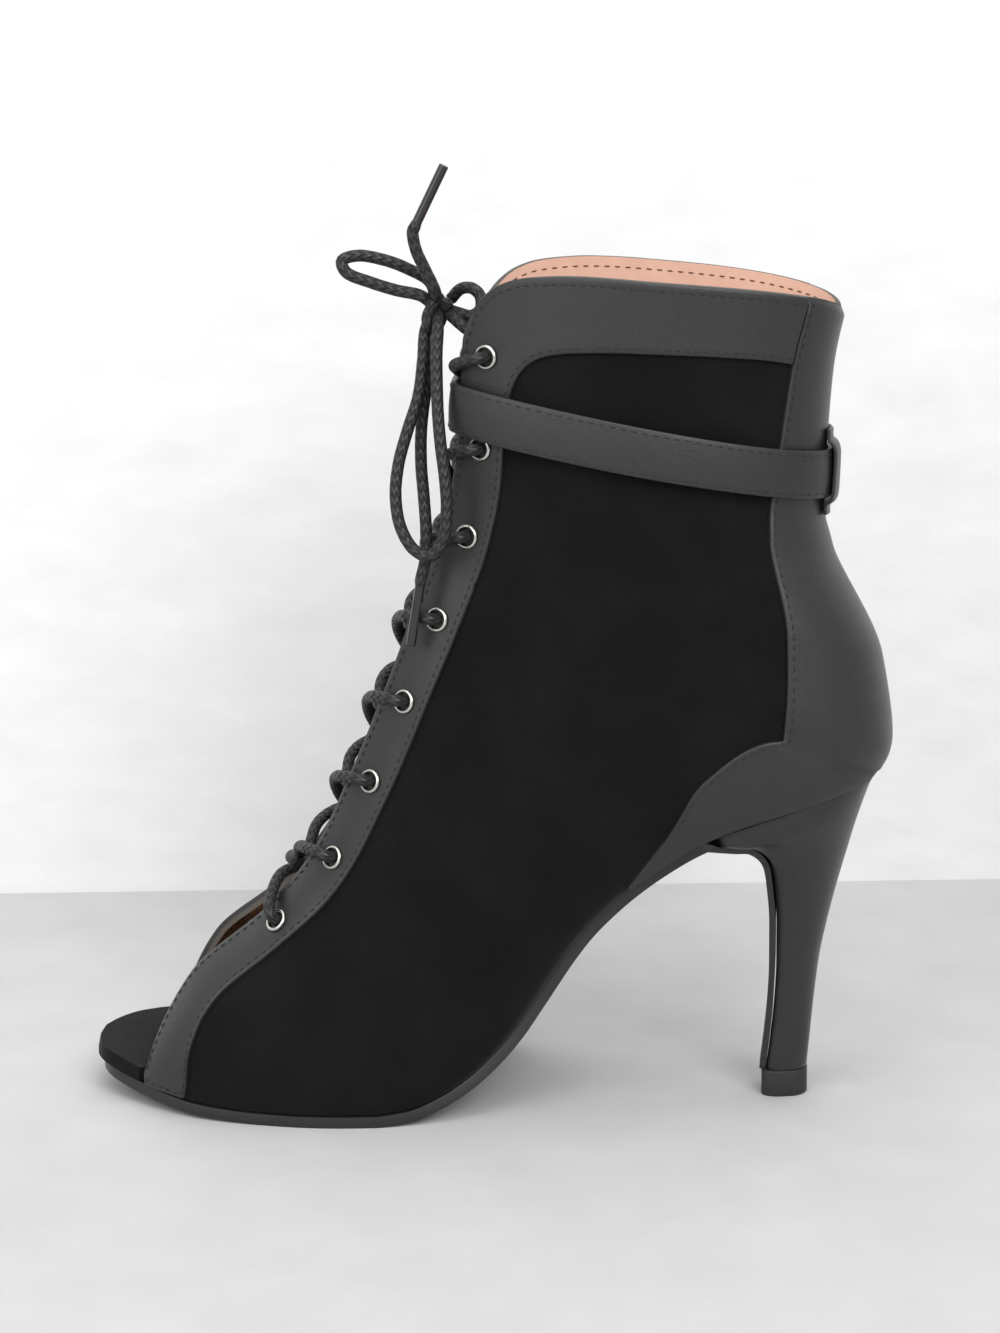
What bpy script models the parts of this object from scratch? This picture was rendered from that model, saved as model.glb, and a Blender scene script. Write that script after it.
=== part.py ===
"""A heeled dance shoe: an open-toe, front-laced ankle bootie on a high slim heel, for the right foot.

Metres, +X to the toe, +Y to the wearer's left, which is this shoe's inner side, and +Z up. The origin is the middle
of the forefoot's flat spot on the floor. The upper and all that lies on it come from one surface function, skin(),
which joins the sections of the table SECTIONS.
"""

import math

import bmesh
import bpy
import numpy as np
from mathutils import Matrix, Vector

# The last
LENGTH = 0.234
BALL_WIDTH = 0.082
SEAT_HEIGHT = 0.0999
UPPER_HEIGHT = 0.147
TOE_SPRING = 0.0078

# Thicknesses and clearances
SOLE_THICKNESS = 0.0033
FLAP_THICKNESS = 0.0018
INSOLE_THICKNESS = 0.0042
UPPER_WALL = 0.0016
OVERLAY_THICKNESS = 0.0009
TONGUE_THICKNESS = 0.0015
STRAP_THICKNESS = 0.0018
CLEARANCE = 0.0003

# The sole and the insole
SOLE_LEDGE = 0.0012
TOE_SETBACK = 0.0025
WAIST_TRIM = 0.002
INSOLE_CLEARANCE = 0.0007
INSOLE_SHOULDER = 0.0024

# The tongue
TONGUE_HALF = 0.0205
TONGUE_DEPTH = 0.0045
TONGUE_GAP = 0.0009
TONGUE_ROWS = (2.4, 13.2)

# The facings, the collar band and the counter
OVERLAY_GAP = 0.0006
OVERLAY_TOP = OVERLAY_GAP + OVERLAY_THICKNESS
FACING_WIDTH = 0.0155
PANEL_GAP = 0.004

# The eyelets: their places, and their radii and heights
EYELETS = 8
EYELET_INSET = 0.0088
EYELET_PITCH = 0.0257
EYELET_TOP = 0.8238
EYELET_BORE = 0.00225
EYELET_BARREL = 0.00275
EYELET_FLANGE = 0.0035
EYELET_HEIGHT = 0.0008
EYELET_SIDES = 8

# The strap and its keeper
STRAP_WIDTH = 0.014
STRAP_FRONT_HEIGHT = 0.2064
STRAP_BACK_HEIGHT = 0.1862
STRAP_OVER = 0.002
STRAP_BULGE = 0.0012
KEEPER_THICKNESS = 0.001
KEEPER_WAYS = (0.957, 0.98)

# The lace
LACE = 0.0034
AGLET = 0.0028
AGLET_LENGTH = 0.0195

# How finely the curved pieces are divided
NEAR = 0.0001

# One row for each section of the upper, from the toe's corner up to the collar. A section is a straight cut seen from
# the side, from the throat's edge to the sole, or for the last rows to the back seam.
#   throat_x   its place on the throat's edge, a share of LENGTH
#   rise       how far that is above the section's base, a share of UPPER_HEIGHT
#   base_x     its place on the sole or the back seam, a share of LENGTH
#   back_rise  how far that is above the seat, a share of UPPER_HEIGHT; up to row 7 it only sets how steeply row 8 begins
#   gap        half the throat's opening, a share of BALL_WIDTH
#   inner      its half width on the inner side, a share of BALL_WIDTH
#   outer      its half width on the outer side, a share of BALL_WIDTH
#   widest     where it is widest, a share of the way from the throat
#   fullness   the exponent of its lower curve: 2 is an ellipse, more is squarer
SECTIONS = {
    "throat_x": (0.2368, 0.222, 0.179, 0.084, 0.021, -0.027, -0.068, -0.107, -0.132, -0.141, -0.155, -0.1637, -0.1667,
                 -0.172, -0.175),
    "rise": (0.028, 0.110, 0.2435, 0.3755, 0.478, 0.463, 0.408, 0.412, 0.436, 0.477, 0.565, 0.660, 0.722, 0.858, 1.0),
    "base_x": (0.239, 0.197, 0.132, 0.013, -0.128, -0.246, -0.350, -0.507, -0.6650, -0.6786, -0.6645, -0.6034, -0.592,
               -0.601, -0.624),
    "back_rise": (0, 0, 0, 0, 0, 0, 0, -0.068, 0, 0.068, 0.2245, 0.435, 0.531, 0.7755, 0.952),
    "gap": (0.320, 0.300, 0.232, 0.183, 0.177, 0.175, 0.172, 0.172, 0.172, 0.172, 0.174, 0.176, 0.178, 0.183, 0.188),
    "inner": (0.331, 0.393, 0.457, 0.494, 0.439, 0.390, 0.366, 0.366, 0.378, 0.378, 0.372, 0.360, 0.354, 0.345, 0.348),
    "outer": (0.345, 0.402, 0.467, 0.510, 0.473, 0.415, 0.384, 0.378, 0.384, 0.380, 0.372, 0.360, 0.354, 0.345, 0.348),
    "widest": (0.50, 0.60, 0.68, 0.75, 0.72, 0.62, 0.55, 0.55, 0.58, 0.58, 0.55, 0.50, 0.48, 0.47, 0.47),
    "fullness": (2.0, 2.0, 2.0, 2.0, 2.0, 2.0, 2.0, 2.1, 2.35, 2.35, 2.2, 2.0, 1.9, 2.0, 2.0),
}
SEAT_ROW = 8

# The top of the sole, seen from the side, from the toe back to the seat.
#   x       a share of LENGTH
#   spring  its height over the tread, a share of TOE_SPRING
#   lift    its height over the tread, a share of the seat's
SOLE_TOP = {
    "x": (0.321, 0.295, 0.2735, 0.239, 0.209, 0.171, 0.090, 0.048, -0.048, -0.095, -0.130, -0.166, -0.198, -0.2235,
          -0.246, -0.289, -0.3095, -0.335, -0.363, -0.401, -0.453, -0.507, -0.568, -0.632, -0.669),
    "spring": (1.0, 0.825, 0.66, 0.447, 0.301, 0.155, 0.019, 0, 0, 0, 0, 0, 0, 0, 0, 0, 0, 0, 0, 0, 0, 0, 0, 0, 0),
    "lift": (0, 0, 0, 0, 0, 0, 0, 0, 0, 0.010, 0.040, 0.090, 0.157, 0.227, 0.306, 0.462, 0.526, 0.592, 0.655, 0.727,
             0.811, 0.871, 0.923, 0.974, 1.0),
}

# The outline of the sole, seen from above, from the heel's back to the toe: x as a share of LENGTH, and how far the
# edge lies to the inner and to the outer side, as shares of BALL_WIDTH.
OUTLINE = {
    "x": (-0.6690, -0.6625, -0.645, -0.620, -0.581, -0.530, -0.4615, -0.393, -0.3205, -0.256, -0.197, -0.128, -0.051,
          0.017, 0.0855, 0.162, 0.214, 0.256, 0.286, 0.3035, 0.314, 0.3205),
    "inner": (0.012, 0.092, 0.173, 0.235, 0.283, 0.300, 0.274, 0.238, 0.232, 0.268, 0.335, 0.415, 0.476, 0.490, 0.476,
              0.437, 0.378, 0.309, 0.254, 0.211, 0.161, 0.090),
    "outer": (0.012, 0.092, 0.173, 0.235, 0.283, 0.302, 0.293, 0.287, 0.305, 0.354, 0.409, 0.470, 0.504, 0.507, 0.488,
              0.445, 0.390, 0.332, 0.238, 0.146, 0.067, 0.0),
}

# The collar's edge and the lower edge of the collar band: the way round, and the height over the seat as a share of
# UPPER_HEIGHT. The collar's way starts at the throat, and the band's at the facing's seam.
COLLAR_EDGE = {
    "round": (0.0, 0.02, 0.05, 0.10, 0.16, 0.26, 0.5, 0.7, 0.88, 1.0),
    "height": (0.845, 0.894, 0.930, 0.960, 0.974, 0.979, 0.966, 0.949, 0.924, 0.899),
}
BAND_EDGE = {
    "round": (0.0, 0.015, 0.04, 0.08, 0.14, 0.24, 0.43, 0.58, 0.76),
    "height": (0.700, 0.765, 0.803, 0.825, 0.835, 0.838, 0.832, 0.822, 0.795),
}

# Where the facing turns into the collar band: places along the collar's edge, and those on the band's lower edge that
# lie across from them, both as ways round from the throat. The lower edge starts at the facing's seam.
TURN = {
    "collar": (0.012, 0.03, 0.06, 0.10, 0.15, 0.21, 0.28, 0.36, 0.45, 0.54, 0.63, 0.72, 0.80),
    "band": (0.022, 0.031, 0.045, 0.065, 0.095, 0.135, 0.180, 0.240, 0.320, 0.405, 0.495, 0.585, 0.665),
}

# The counter's front edge, from the collar down to the sole: how far round, against the height of the section.
COUNTER_EDGE = {
    "row": (3.0, 5.9, 6.6, 7.2, 8.0, 9.0, 10.0, 11.0, 12.0, 13.0, 14.0),
    "round": (1.0, 1.0, 0.90, 0.80, 0.715, 0.70, 0.715, 0.765, 0.795, 0.82, 0.835),
}

# The heel and the flap, the sole's last part, which lies on the heel's breast, from the seat down. One ring of the
# heel for each row.
#   flap_x, flap_z  the flap's outer face: shares of LENGTH and of SEAT_HEIGHT
#   flap_half       the flap's half width, a share of BALL_WIDTH
#   back_x, back_z  the back of the heel: shares of LENGTH and of SEAT_HEIGHT
#   half            the heel's half width, a share of BALL_WIDTH
#   flat            the share of it that the breast keeps
HEEL = {
    "flap_x": (-0.4752, -0.4957, -0.5081, -0.5218, -0.5291, -0.5329, -0.5359, -0.5359, -0.5338, -0.5291, -0.5244),
    "flap_z": (0.781, 0.775, 0.772, 0.752, 0.719, 0.652, 0.5455, 0.4234, 0.296, 0.175, 0.081),
    "flap_half": (0.215, 0.200, 0.185, 0.170, 0.152, 0.126, 0.099, 0.080, 0.068, 0.060, 0.056),
    "back_x": (-0.6581, -0.6513, -0.6457, -0.6385, -0.6321, -0.6222, -0.6090, -0.5983, -0.5919, -0.5872, -0.5835),
    "back_z": (0.956, 0.911, 0.871, 0.816, 0.761, 0.676, 0.5505, 0.4234, 0.2963, 0.175, 0.081),
    "half": (0.284, 0.268, 0.250, 0.218, 0.190, 0.160, 0.131, 0.109, 0.092, 0.082, 0.077),
    "flat": (0.87, 0.86, 0.84, 0.81, 0.78, 0.75, 0.73, 0.72, 0.72, 0.72, 0.72),
}

# The seat, the heel's top face: where it begins and ends, as shares of LENGTH.
SEAT_ENDS = (-0.4680, -0.6665)

# The keeper, seen from the side: how far each point is from the strap's middle line, and how far over the skin.
KEEPER = {
    "along": (-0.0125, -0.0098, -0.0083, -0.0055, 0.0, 0.0055, 0.0083, 0.0098, 0.0125),
    "over": (0.0027, 0.0029, 0.0046, 0.0053, 0.0054, 0.0053, 0.0046, 0.0029, 0.0027),
}

# A crossing of the lace between two pairs of eyelets. Each strand comes out of the upper eyelet, over the facing's edge,
# across the throat and in under the other facing, towards the lower eyelet there.
#   along  the way down from the upper eyelet to the lower one
#   across how far it is to the side that it starts from, as a share of half the throat's opening
#   over   how far the strand from the inner side stands over the line of the throat's edges
#   under  the same for the strand that passes under it, and strapped and strapped_under for the two under the strap
CROSSING = {
    "along": (0.22, 0.33, 0.50, 0.68, 0.80, 0.86),
    "across": (0.74, 0.42, 0.0, -0.44, -0.76, -0.92),
    "over": (0.0040, 0.0046, 0.0034, 0.0004, -0.0032, -0.0041),
    "under": (0.0036, 0.0026, 0.0003, -0.0016, -0.0032, -0.0041),
    "strapped": (0.0025, -0.0004, -0.0012, -0.0020, -0.0034, -0.0041),
    "strapped_under": (0.0024, -0.0012, -0.0026, -0.0031, -0.0036, -0.0041),
}

# The bow in front of the collar: the routes of its cords, in metres.
LOOP_AHEAD = (
    (-0.0290, 0.0020, 0.2395), (-0.0225, 0.0030, 0.2436), (-0.0160, 0.0045, 0.2462), (-0.0090, 0.0065, 0.2475),
    (-0.0050, 0.0080, 0.2462), (-0.0062, 0.0088, 0.2432), (-0.0130, 0.0080, 0.2402), (-0.0200, 0.0065, 0.2378),
    (-0.0268, 0.0060, 0.2362),
)
LOOP_DOWN = (
    (-0.0278, 0.0035, 0.2268), (-0.0272, 0.0072, 0.2180), (-0.0262, 0.0112, 0.2085), (-0.0235, 0.0150, 0.1995),
    (-0.0212, 0.0185, 0.1905), (-0.0206, 0.0215, 0.1818), (-0.0222, 0.0240, 0.1735), (-0.0262, 0.0260, 0.1675),
    (-0.0308, 0.0272, 0.1660), (-0.0344, 0.0272, 0.1705), (-0.0355, 0.0262, 0.1790), (-0.0350, 0.0248, 0.1875),
    (-0.0338, 0.0228, 0.1960), (-0.0328, 0.0200, 0.2045), (-0.0322, 0.0165, 0.2130), (-0.0318, 0.0125, 0.2210),
    (-0.0318, 0.0088, 0.2268),
)
END_UP = (
    (-0.0310, 0.0080, 0.2380), (-0.0285, 0.0092, 0.2440), (-0.0262, 0.0100, 0.2495), (-0.0254, 0.0100, 0.2545),
)
END_UP_AGLET = ((-0.0259, 0.0100, 0.2556), (-0.0345, 0.0098, 0.2727))
END_DOWN = (
    (-0.0305, -0.0020, 0.2268), (-0.0292, 0.0020, 0.2180), (-0.0276, 0.0068, 0.2080), (-0.0268, 0.0105, 0.1990),
    (-0.0270, 0.0140, 0.1900), (-0.0280, 0.0172, 0.1810), (-0.0288, 0.0200, 0.1725), (-0.0288, 0.0220, 0.1645),
    (-0.0276, 0.0231, 0.1590),
)
END_DOWN_AGLET = ((-0.0275, 0.0232, 0.1585), (-0.0243, 0.0240, 0.1396))
KNOT_TIE = ((-0.0425, 0.0095, 0.2255), (-0.0392, 0.0078, 0.2275), (-0.0355, 0.0045, 0.2300), (-0.0325, 0.0010, 0.2318))
KNOT_PLACE = (-0.0312, 0.0030, 0.2322)


def curve_through(knots, values):
    """A smooth curve through the given points that never swings past them, as a function of one number."""
    order = np.argsort(knots)
    at = np.asarray(knots, float)[order]
    value = np.asarray(values, float)[order]
    step = np.diff(at)
    slope = np.diff(value) / step
    tangent = np.zeros(len(at))
    tangent[0] = slope[0]
    tangent[-1] = slope[-1]
    for i in range(1, len(at) - 1):
        if slope[i - 1] * slope[i] > 0:
            before = 2 * step[i] + step[i - 1]
            after = step[i] + 2 * step[i - 1]
            tangent[i] = (before + after) / (before / slope[i - 1] + after / slope[i])

    def value_at(x):
        x = np.clip(x, at[0], at[-1])
        i = np.clip(np.searchsorted(at, x, side="right") - 1, 0, len(step) - 1)
        t = (x - at[i]) / step[i]
        return (
            value[i] * (1 + 2 * t) * (1 - t) ** 2
            + value[i + 1] * t * t * (3 - 2 * t)
            + step[i] * (tangent[i] * t * (1 - t) ** 2 - tangent[i + 1] * t * t * (1 - t))
        )

    return value_at


def sole_top_heights():
    """The sole's top, from the table, as heights over the floor."""
    seat = SEAT_HEIGHT - SOLE_THICKNESS
    return [
        SOLE_THICKNESS + spring * TOE_SPRING + lift * seat
        for spring, lift in zip(SOLE_TOP["spring"], SOLE_TOP["lift"])
    ]


sole_top = curve_through([x * LENGTH for x in SOLE_TOP["x"]], sole_top_heights())
outline = {
    1: curve_through([x * LENGTH for x in OUTLINE["x"]], [y * BALL_WIDTH for y in OUTLINE["inner"]]),
    -1: curve_through([x * LENGTH for x in OUTLINE["x"]], [y * BALL_WIDTH for y in OUTLINE["outer"]]),
}


def section_curves():
    """Each column of SECTIONS as a smooth curve over the row number, in metres."""
    rows = range(len(SECTIONS["rise"]))
    base = [
        sole_top(x * LENGTH) if row <= SEAT_ROW else SEAT_HEIGHT
        for row, x in zip(rows, SECTIONS["base_x"])
    ]
    columns = {
        "throat_x": [x * LENGTH for x in SECTIONS["throat_x"]],
        "throat_z": [z + rise * UPPER_HEIGHT for z, rise in zip(base, SECTIONS["rise"])],
        "base_x": [x * LENGTH for x in SECTIONS["base_x"]],
        "back_z": [SEAT_HEIGHT + CLEARANCE + rise * UPPER_HEIGHT for rise in SECTIONS["back_rise"]],
        "gap": [gap * BALL_WIDTH for gap in SECTIONS["gap"]],
        "inner": [half * BALL_WIDTH for half in SECTIONS["inner"]],
        "outer": [half * BALL_WIDTH for half in SECTIONS["outer"]],
        "widest": SECTIONS["widest"],
        "fullness": SECTIONS["fullness"],
    }
    return {name: curve_through(rows, values) for name, values in columns.items()}


CURVES = section_curves()
LAST_ROW = len(SECTIONS["rise"]) - 1


def section(row, side):
    """Half a section as a fine line of points, from the throat's edge to its base, on one side of the shoe."""
    half = CURVES["inner" if side > 0 else "outer"](row)
    gap = min(CURVES["gap"](row), 0.97 * half)
    widest = CURVES["widest"](row)
    base_x = CURVES["base_x"](row)
    if row < SEAT_ROW:
        base_z = sole_top(base_x) + CLEARANCE
        base_y = max(outline[side](base_x) - SOLE_LEDGE, 0.0)
    else:
        base_z = CURVES["back_z"](row)
        base_y = 0.0
    start = math.asin(gap / half)
    turn = np.linspace(start, math.pi / 2, 33)
    along = widest * (1 - np.cos(turn) / math.cos(start))
    across = half * np.sin(turn)
    turn = np.linspace(0, math.pi / 2, 33)[1:]
    power = 2 / CURVES["fullness"](row)
    along = np.concatenate([along, widest + (1 - widest) * np.sin(turn) ** power])
    across = np.concatenate([across, base_y + (half - base_y) * np.maximum(np.cos(turn), 0) ** power])
    throat_x = CURVES["throat_x"](row)
    throat_z = CURVES["throat_z"](row)
    return np.stack(
        [throat_x + (base_x - throat_x) * along, side * across, throat_z + (base_z - throat_z) * along], axis=1
    )


def skin(row, way, side):
    """A point of the upper's outer face: the section's row, the way round it from the throat, 0, to its base, 1."""
    points = section(row, side)
    run = np.concatenate([[0], np.cumsum(np.linalg.norm(np.diff(points, axis=0), axis=1))])
    return np.array([np.interp(way * run[-1], run, points[:, i]) for i in range(3)])


def skin_normal(row, way, side):
    """The direction out of the upper at a point of its outer face."""
    up = skin(min(row + 0.06, LAST_ROW), way, side) - skin(max(row - 0.06, 0), way, side)
    round_it = skin(row, min(way + 0.02, 1), side) - skin(row, max(way - 0.02, 0), side)
    if way > 0.999 and row >= SEAT_ROW:
        up[1] = 0
        round_it = np.array([0, -side, 0])
    normal = np.cross(round_it, up) * side
    return normal / np.linalg.norm(normal)


def over_skin(row, way, side, height):
    """A point at a height over the upper's outer face."""
    return skin(row, way, side) + height * skin_normal(row, way, side)


def row_at_height(way, height, side):
    """The row whose section has the given height at the given way round."""
    rows = np.linspace(SEAT_ROW, LAST_ROW, 61)
    heights = [skin(row, way, side)[2] for row in rows]
    return float(np.interp(height, heights, rows))


def collar_edge(side):
    """The row at which the upper ends, as a curve over the way round."""
    height = curve_through(COLLAR_EDGE["round"], COLLAR_EDGE["height"])
    ways = np.linspace(0, 1, 41)
    return curve_through(ways, [row_at_height(way, SEAT_HEIGHT + UPPER_HEIGHT * height(way), side) for way in ways])


collar_row = {side: collar_edge(side) for side in (1, -1)}
counter_way = curve_through(COUNTER_EDGE["row"], COUNTER_EDGE["round"])

# The rows and the ways round at which the upper and its overlays have their points
LOW_ROWS = [*np.linspace(0, 7, 16), 7.25, 7.45, 7.6, 7.75, 7.88]
HIGH_ROWS = [*np.linspace(SEAT_ROW, LAST_ROW, 15)]
WAYS = (0, 0.07, 0.15, 0.24, 0.36, 0.50, 0.64, 0.76, 0.85, 0.915, 0.965, 1)


def trimmed(row, way, side):
    """A row, drawn in above the seat so that the last one is the collar's edge."""
    share = max(row - SEAT_ROW, 0) / (LAST_ROW - SEAT_ROW)
    return min(row, SEAT_ROW) + share * (collar_row[side](way) - SEAT_ROW)


def throat_edge(side):
    """The throat's edge on one side, as rows and points."""
    rows = np.linspace(0, LAST_ROW, 141)
    return rows, np.array([skin(row, 0, side) for row in rows])


edge_of = {side: throat_edge(side) for side in (1, -1)}


def way_from_edge(row, side, distance):
    """How far round a section lies a distance from the throat's edge, at most at the section's foot."""
    ways = np.linspace(0, 1, 41)
    edge = edge_of[side][1]
    apart = [np.min(np.linalg.norm(edge - skin(row, way, side), axis=1)) for way in ways]
    return float(np.interp(distance, np.maximum.accumulate(apart), ways))


def foot_way(row, side):
    """How far round a section an overlay may reach before it meets the sole."""
    if row >= SEAT_ROW:
        return 1.0
    ways = np.linspace(0.4, 1, 41)
    points = [over_skin(row, way, side, OVERLAY_TOP) for way in ways]
    under = [sole_top(point[0]) + 2 * CLEARANCE - point[2] for point in points]
    return float(np.interp(0, np.maximum.accumulate(under), ways))


def eyelet_places(side):
    """Where the eyelets of one side sit, from the lowest up, as rows and ways round."""
    rows = np.linspace(1.5, collar_row[side](0), 90)
    ways = [way_from_edge(row, side, EYELET_INSET) for row in rows]
    points = np.array([skin(row, way, side) for row, way in zip(rows, ways)])
    run = np.concatenate([[0], np.cumsum(np.linalg.norm(np.diff(points, axis=0), axis=1))])
    top = np.interp(SEAT_HEIGHT + EYELET_TOP * UPPER_HEIGHT, points[:, 2], run)
    places = top - EYELET_PITCH * np.arange(EYELETS - 1, -1, -1)
    return [(float(np.interp(place, run, rows)), float(np.interp(place, run, ways))) for place in places]


eyelets_at = {side: eyelet_places(side) for side in (1, -1)}


SIDE_NAMES = {1: "inner", -1: "outer"}


def material(name, colour, roughness, metallic=0.0):
    """A plain material with one colour."""
    made = bpy.data.materials.new(name)
    made.use_nodes = True
    shader = made.node_tree.nodes["Principled BSDF"]
    shader.inputs["Base Color"].default_value = (*colour, 1)
    shader.inputs["Roughness"].default_value = roughness
    shader.inputs["Metallic"].default_value = metallic
    return made


def add_object(name, data, finish, collection="heeled_dance_shoe"):
    """An object in a collection, made on first use."""
    group = bpy.data.collections.get(collection)
    if group is None:
        group = bpy.data.collections.new(collection)
        bpy.context.scene.collection.children.link(group)
    piece = bpy.data.objects.new(name, data)
    group.objects.link(piece)
    if finish is not None:
        data.materials.append(finish)
    return piece


def mesh_from(name, points, faces):
    """A mesh with its doubles joined and its faces pointing one way."""
    mesh = bpy.data.meshes.new(name)
    mesh.from_pydata([tuple(float(c) for c in p) for p in points], [], faces)
    shape = bmesh.new()
    shape.from_mesh(mesh)
    bmesh.ops.remove_doubles(shape, verts=shape.verts, dist=0.00002)
    bmesh.ops.dissolve_degenerate(shape, edges=shape.edges, dist=0.00002)
    bmesh.ops.recalc_face_normals(shape, faces=shape.faces)
    shape.to_mesh(mesh)
    shape.free()
    mesh.shade_smooth()
    mesh.set_sharp_from_angle(angle=math.radians(40))
    return mesh


def grid_faces(rows, columns, first=0):
    """The quads of a grid of points that are stored row by row."""
    return [
        (
            first + r * columns + c,
            first + r * columns + c + 1,
            first + (r + 1) * columns + c + 1,
            first + (r + 1) * columns + c,
        )
        for r in range(rows - 1)
        for c in range(columns - 1)
    ]


def wall(piece, thickness, even=True):
    """Gives an open sheet its thickness, inwards from the face it was made as."""
    solid = piece.modifiers.new("wall", "SOLIDIFY")
    solid.thickness = thickness
    solid.offset = -1
    solid.use_even_offset = even
    solid.use_quality_normals = True


def face_out(mesh, middle):
    """Turns an open sheet so that its faces point away from a line through the middle of the shoe."""
    shape = bmesh.new()
    shape.from_mesh(mesh)
    shape.faces.ensure_lookup_table()
    outward = sum(
        face.calc_area() * face.normal.dot(face.calc_center_median() - middle(face.calc_center_median()))
        for face in shape.faces
    )
    if outward < 0:
        bmesh.ops.reverse_faces(shape, faces=shape.faces)
    shape.to_mesh(mesh)
    shape.free()


def shoe_middle(point):
    """The point on the shoe's middle line that is level with a point, for telling outside from inside."""
    x = max(point.x, -0.40 * LENGTH)
    return Vector((x, 0, min(point.z, sole_top(x) + 0.02) if x > -0.25 * LENGTH else point.z))


def cut_holes(piece, holes):
    """Cuts the eyelets' holes."""
    cut = piece.modifiers.new("eyelet holes", "BOOLEAN")
    cut.operation = "DIFFERENCE"
    cut.solver = "EXACT"
    cut.object = holes


def make_holes(side):
    """The cutter for one side's eyelet holes: a short drill through each place."""
    radius = (EYELET_BARREL + CLEARANCE) / math.cos(math.pi / EYELET_SIDES)
    points = []
    faces = []
    for row, way in eyelets_at[side]:
        frame = eyelet_frame(row, way, side)
        first = len(points)
        for height in (-0.0035, 0.0035):
            for turn in range(EYELET_SIDES):
                angle = 2 * math.pi * turn / EYELET_SIDES
                points.append(frame @ Vector((radius * math.cos(angle), radius * math.sin(angle), height)))
        for turn in range(EYELET_SIDES):
            after = (turn + 1) % EYELET_SIDES
            faces.append((first + turn, first + after, first + EYELET_SIDES + after, first + EYELET_SIDES + turn))
        faces.append(tuple(first + turn for turn in range(EYELET_SIDES - 1, -1, -1)))
        faces.append(tuple(first + EYELET_SIDES + turn for turn in range(EYELET_SIDES)))
    name = f"eyelet_drills_{SIDE_NAMES[side]}"
    cutter = add_object(name, mesh_from(name, points, faces), None, "cutters")
    cutter.hide_render = True
    cutter.display_type = "WIRE"
    return cutter


def eyelet_frame(row, way, side):
    """The place and the directions of an eyelet: its own Z points out of the upper."""
    out = Vector(skin_normal(row, way, side))
    along = Vector(skin(row + 0.05, way, side) - skin(row - 0.05, way, side))
    along = (along - out * along.dot(out)).normalized()
    across = out.cross(along)
    turned = Matrix((along, -across, out)).transposed()
    if turned.determinant() < 0:
        turned = Matrix((along, across, out)).transposed()
    return Matrix.Translation(Vector(skin(row, way, side))) @ turned.to_4x4()


def make_upper(finish, holes):
    """The shell: an open sheet of both sides, joined at the back seam, with a wall and the eyelets' holes."""
    points = []
    faces = []
    rows = [*LOW_ROWS, *HIGH_ROWS]
    for side in (1, -1):
        first = len(points)
        points += [skin(trimmed(row, way, side), way, side) for row in rows for way in WAYS]
        faces += grid_faces(len(rows), len(WAYS), first)
    mesh = mesh_from("upper", points, faces)
    face_out(mesh, shoe_middle)
    piece = add_object("upper", mesh, finish)
    wall(piece, UPPER_WALL)
    for cutter in holes.values():
        cut_holes(piece, cutter)
    return piece


def make_facing(side, finish, holes):
    """One facing and its half of the collar band, in one piece, with the eyelets' holes."""
    band = curve_through(BAND_EDGE["round"], BAND_EDGE["height"])
    level = SEAT_HEIGHT + BAND_EDGE["height"][0] * UPPER_HEIGHT
    edge = []
    seam = []
    for row in sorted([*LOW_ROWS, 0.7, 1.15, 1.65, 2.1, 2.55, *HIGH_ROWS]):
        way = min(way_from_edge(row, side, FACING_WIDTH), foot_way(row, side))
        if skin(trimmed(row, way, side), way, side)[2] > level - 0.002:
            break
        edge.append((trimmed(row, 0, side), 0.0))
        seam.append((trimmed(row, way, side), way))
    start = seam[-1][1]
    first = edge[-1][0]
    last = float(collar_row[side](0))

    def band_point(past):
        height = SEAT_HEIGHT + UPPER_HEIGHT * band(past)
        return row_at_height(start + past, height, side), start + past

    for share, past in zip((0.3, 0.65, 1.0), (0.002, 0.008, 0.015)):
        edge.append((first + share * (last - first), 0.0))
        seam.append(band_point(past))
    for way, past in zip(TURN["collar"], TURN["band"]):
        edge.append((float(collar_row[side](way)), way))
        seam.append(band_point(past))
    end = counter_way(collar_row[side](0.83)) - PANEL_GAP
    edge.append((float(collar_row[side](end)), end))
    end = counter_way(band_point(0.70)[0]) - PANEL_GAP
    seam.append(band_point(end - start))
    points = []
    shares = (0, 0.16, 0.33, 0.5, 0.67, 0.84, 1)
    for (row_0, way_0), (row_1, way_1) in zip(edge, seam):
        for share in shares:
            row = row_0 + (row_1 - row_0) * share
            way = way_0 + (way_1 - way_0) * share
            points.append(over_skin(row, way, side, OVERLAY_TOP))
    name = f"facing_{SIDE_NAMES[side]}"
    mesh = mesh_from(name, points, grid_faces(len(edge), len(shares)))
    face_out(mesh, shoe_middle)
    piece = add_object(name, mesh, finish)
    wall(piece, OVERLAY_THICKNESS)
    cut_holes(piece, holes[side])
    return piece


def make_counter(finish):
    """The counter: one piece round the back, from the collar down to the seat, that runs out forwards on both sides."""
    rows = [6.15, 6.6, *[row for row in LOW_ROWS if row > 6.7], SEAT_ROW + 0.08, *HIGH_ROWS[1:]]
    shares = (0, 0.3, 0.56, 0.76, 0.9, 1)
    points = []
    faces = []
    for side in (1, -1):
        first = len(points)
        for row in rows:
            start = float(counter_way(trimmed(row, 0.8, side)))
            end = foot_way(row, side)
            start = min(start, end - 0.012)
            for share in shares:
                way = start + (end - start) * share
                points.append(over_skin(trimmed(row, way, side), way, side, OVERLAY_TOP))
        faces += grid_faces(len(rows), len(shares), first)
    mesh = mesh_from("counter", points, faces)
    face_out(mesh, shoe_middle)
    piece = add_object("counter", mesh, finish)
    wall(piece, OVERLAY_THICKNESS, even=False)
    return piece


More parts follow.
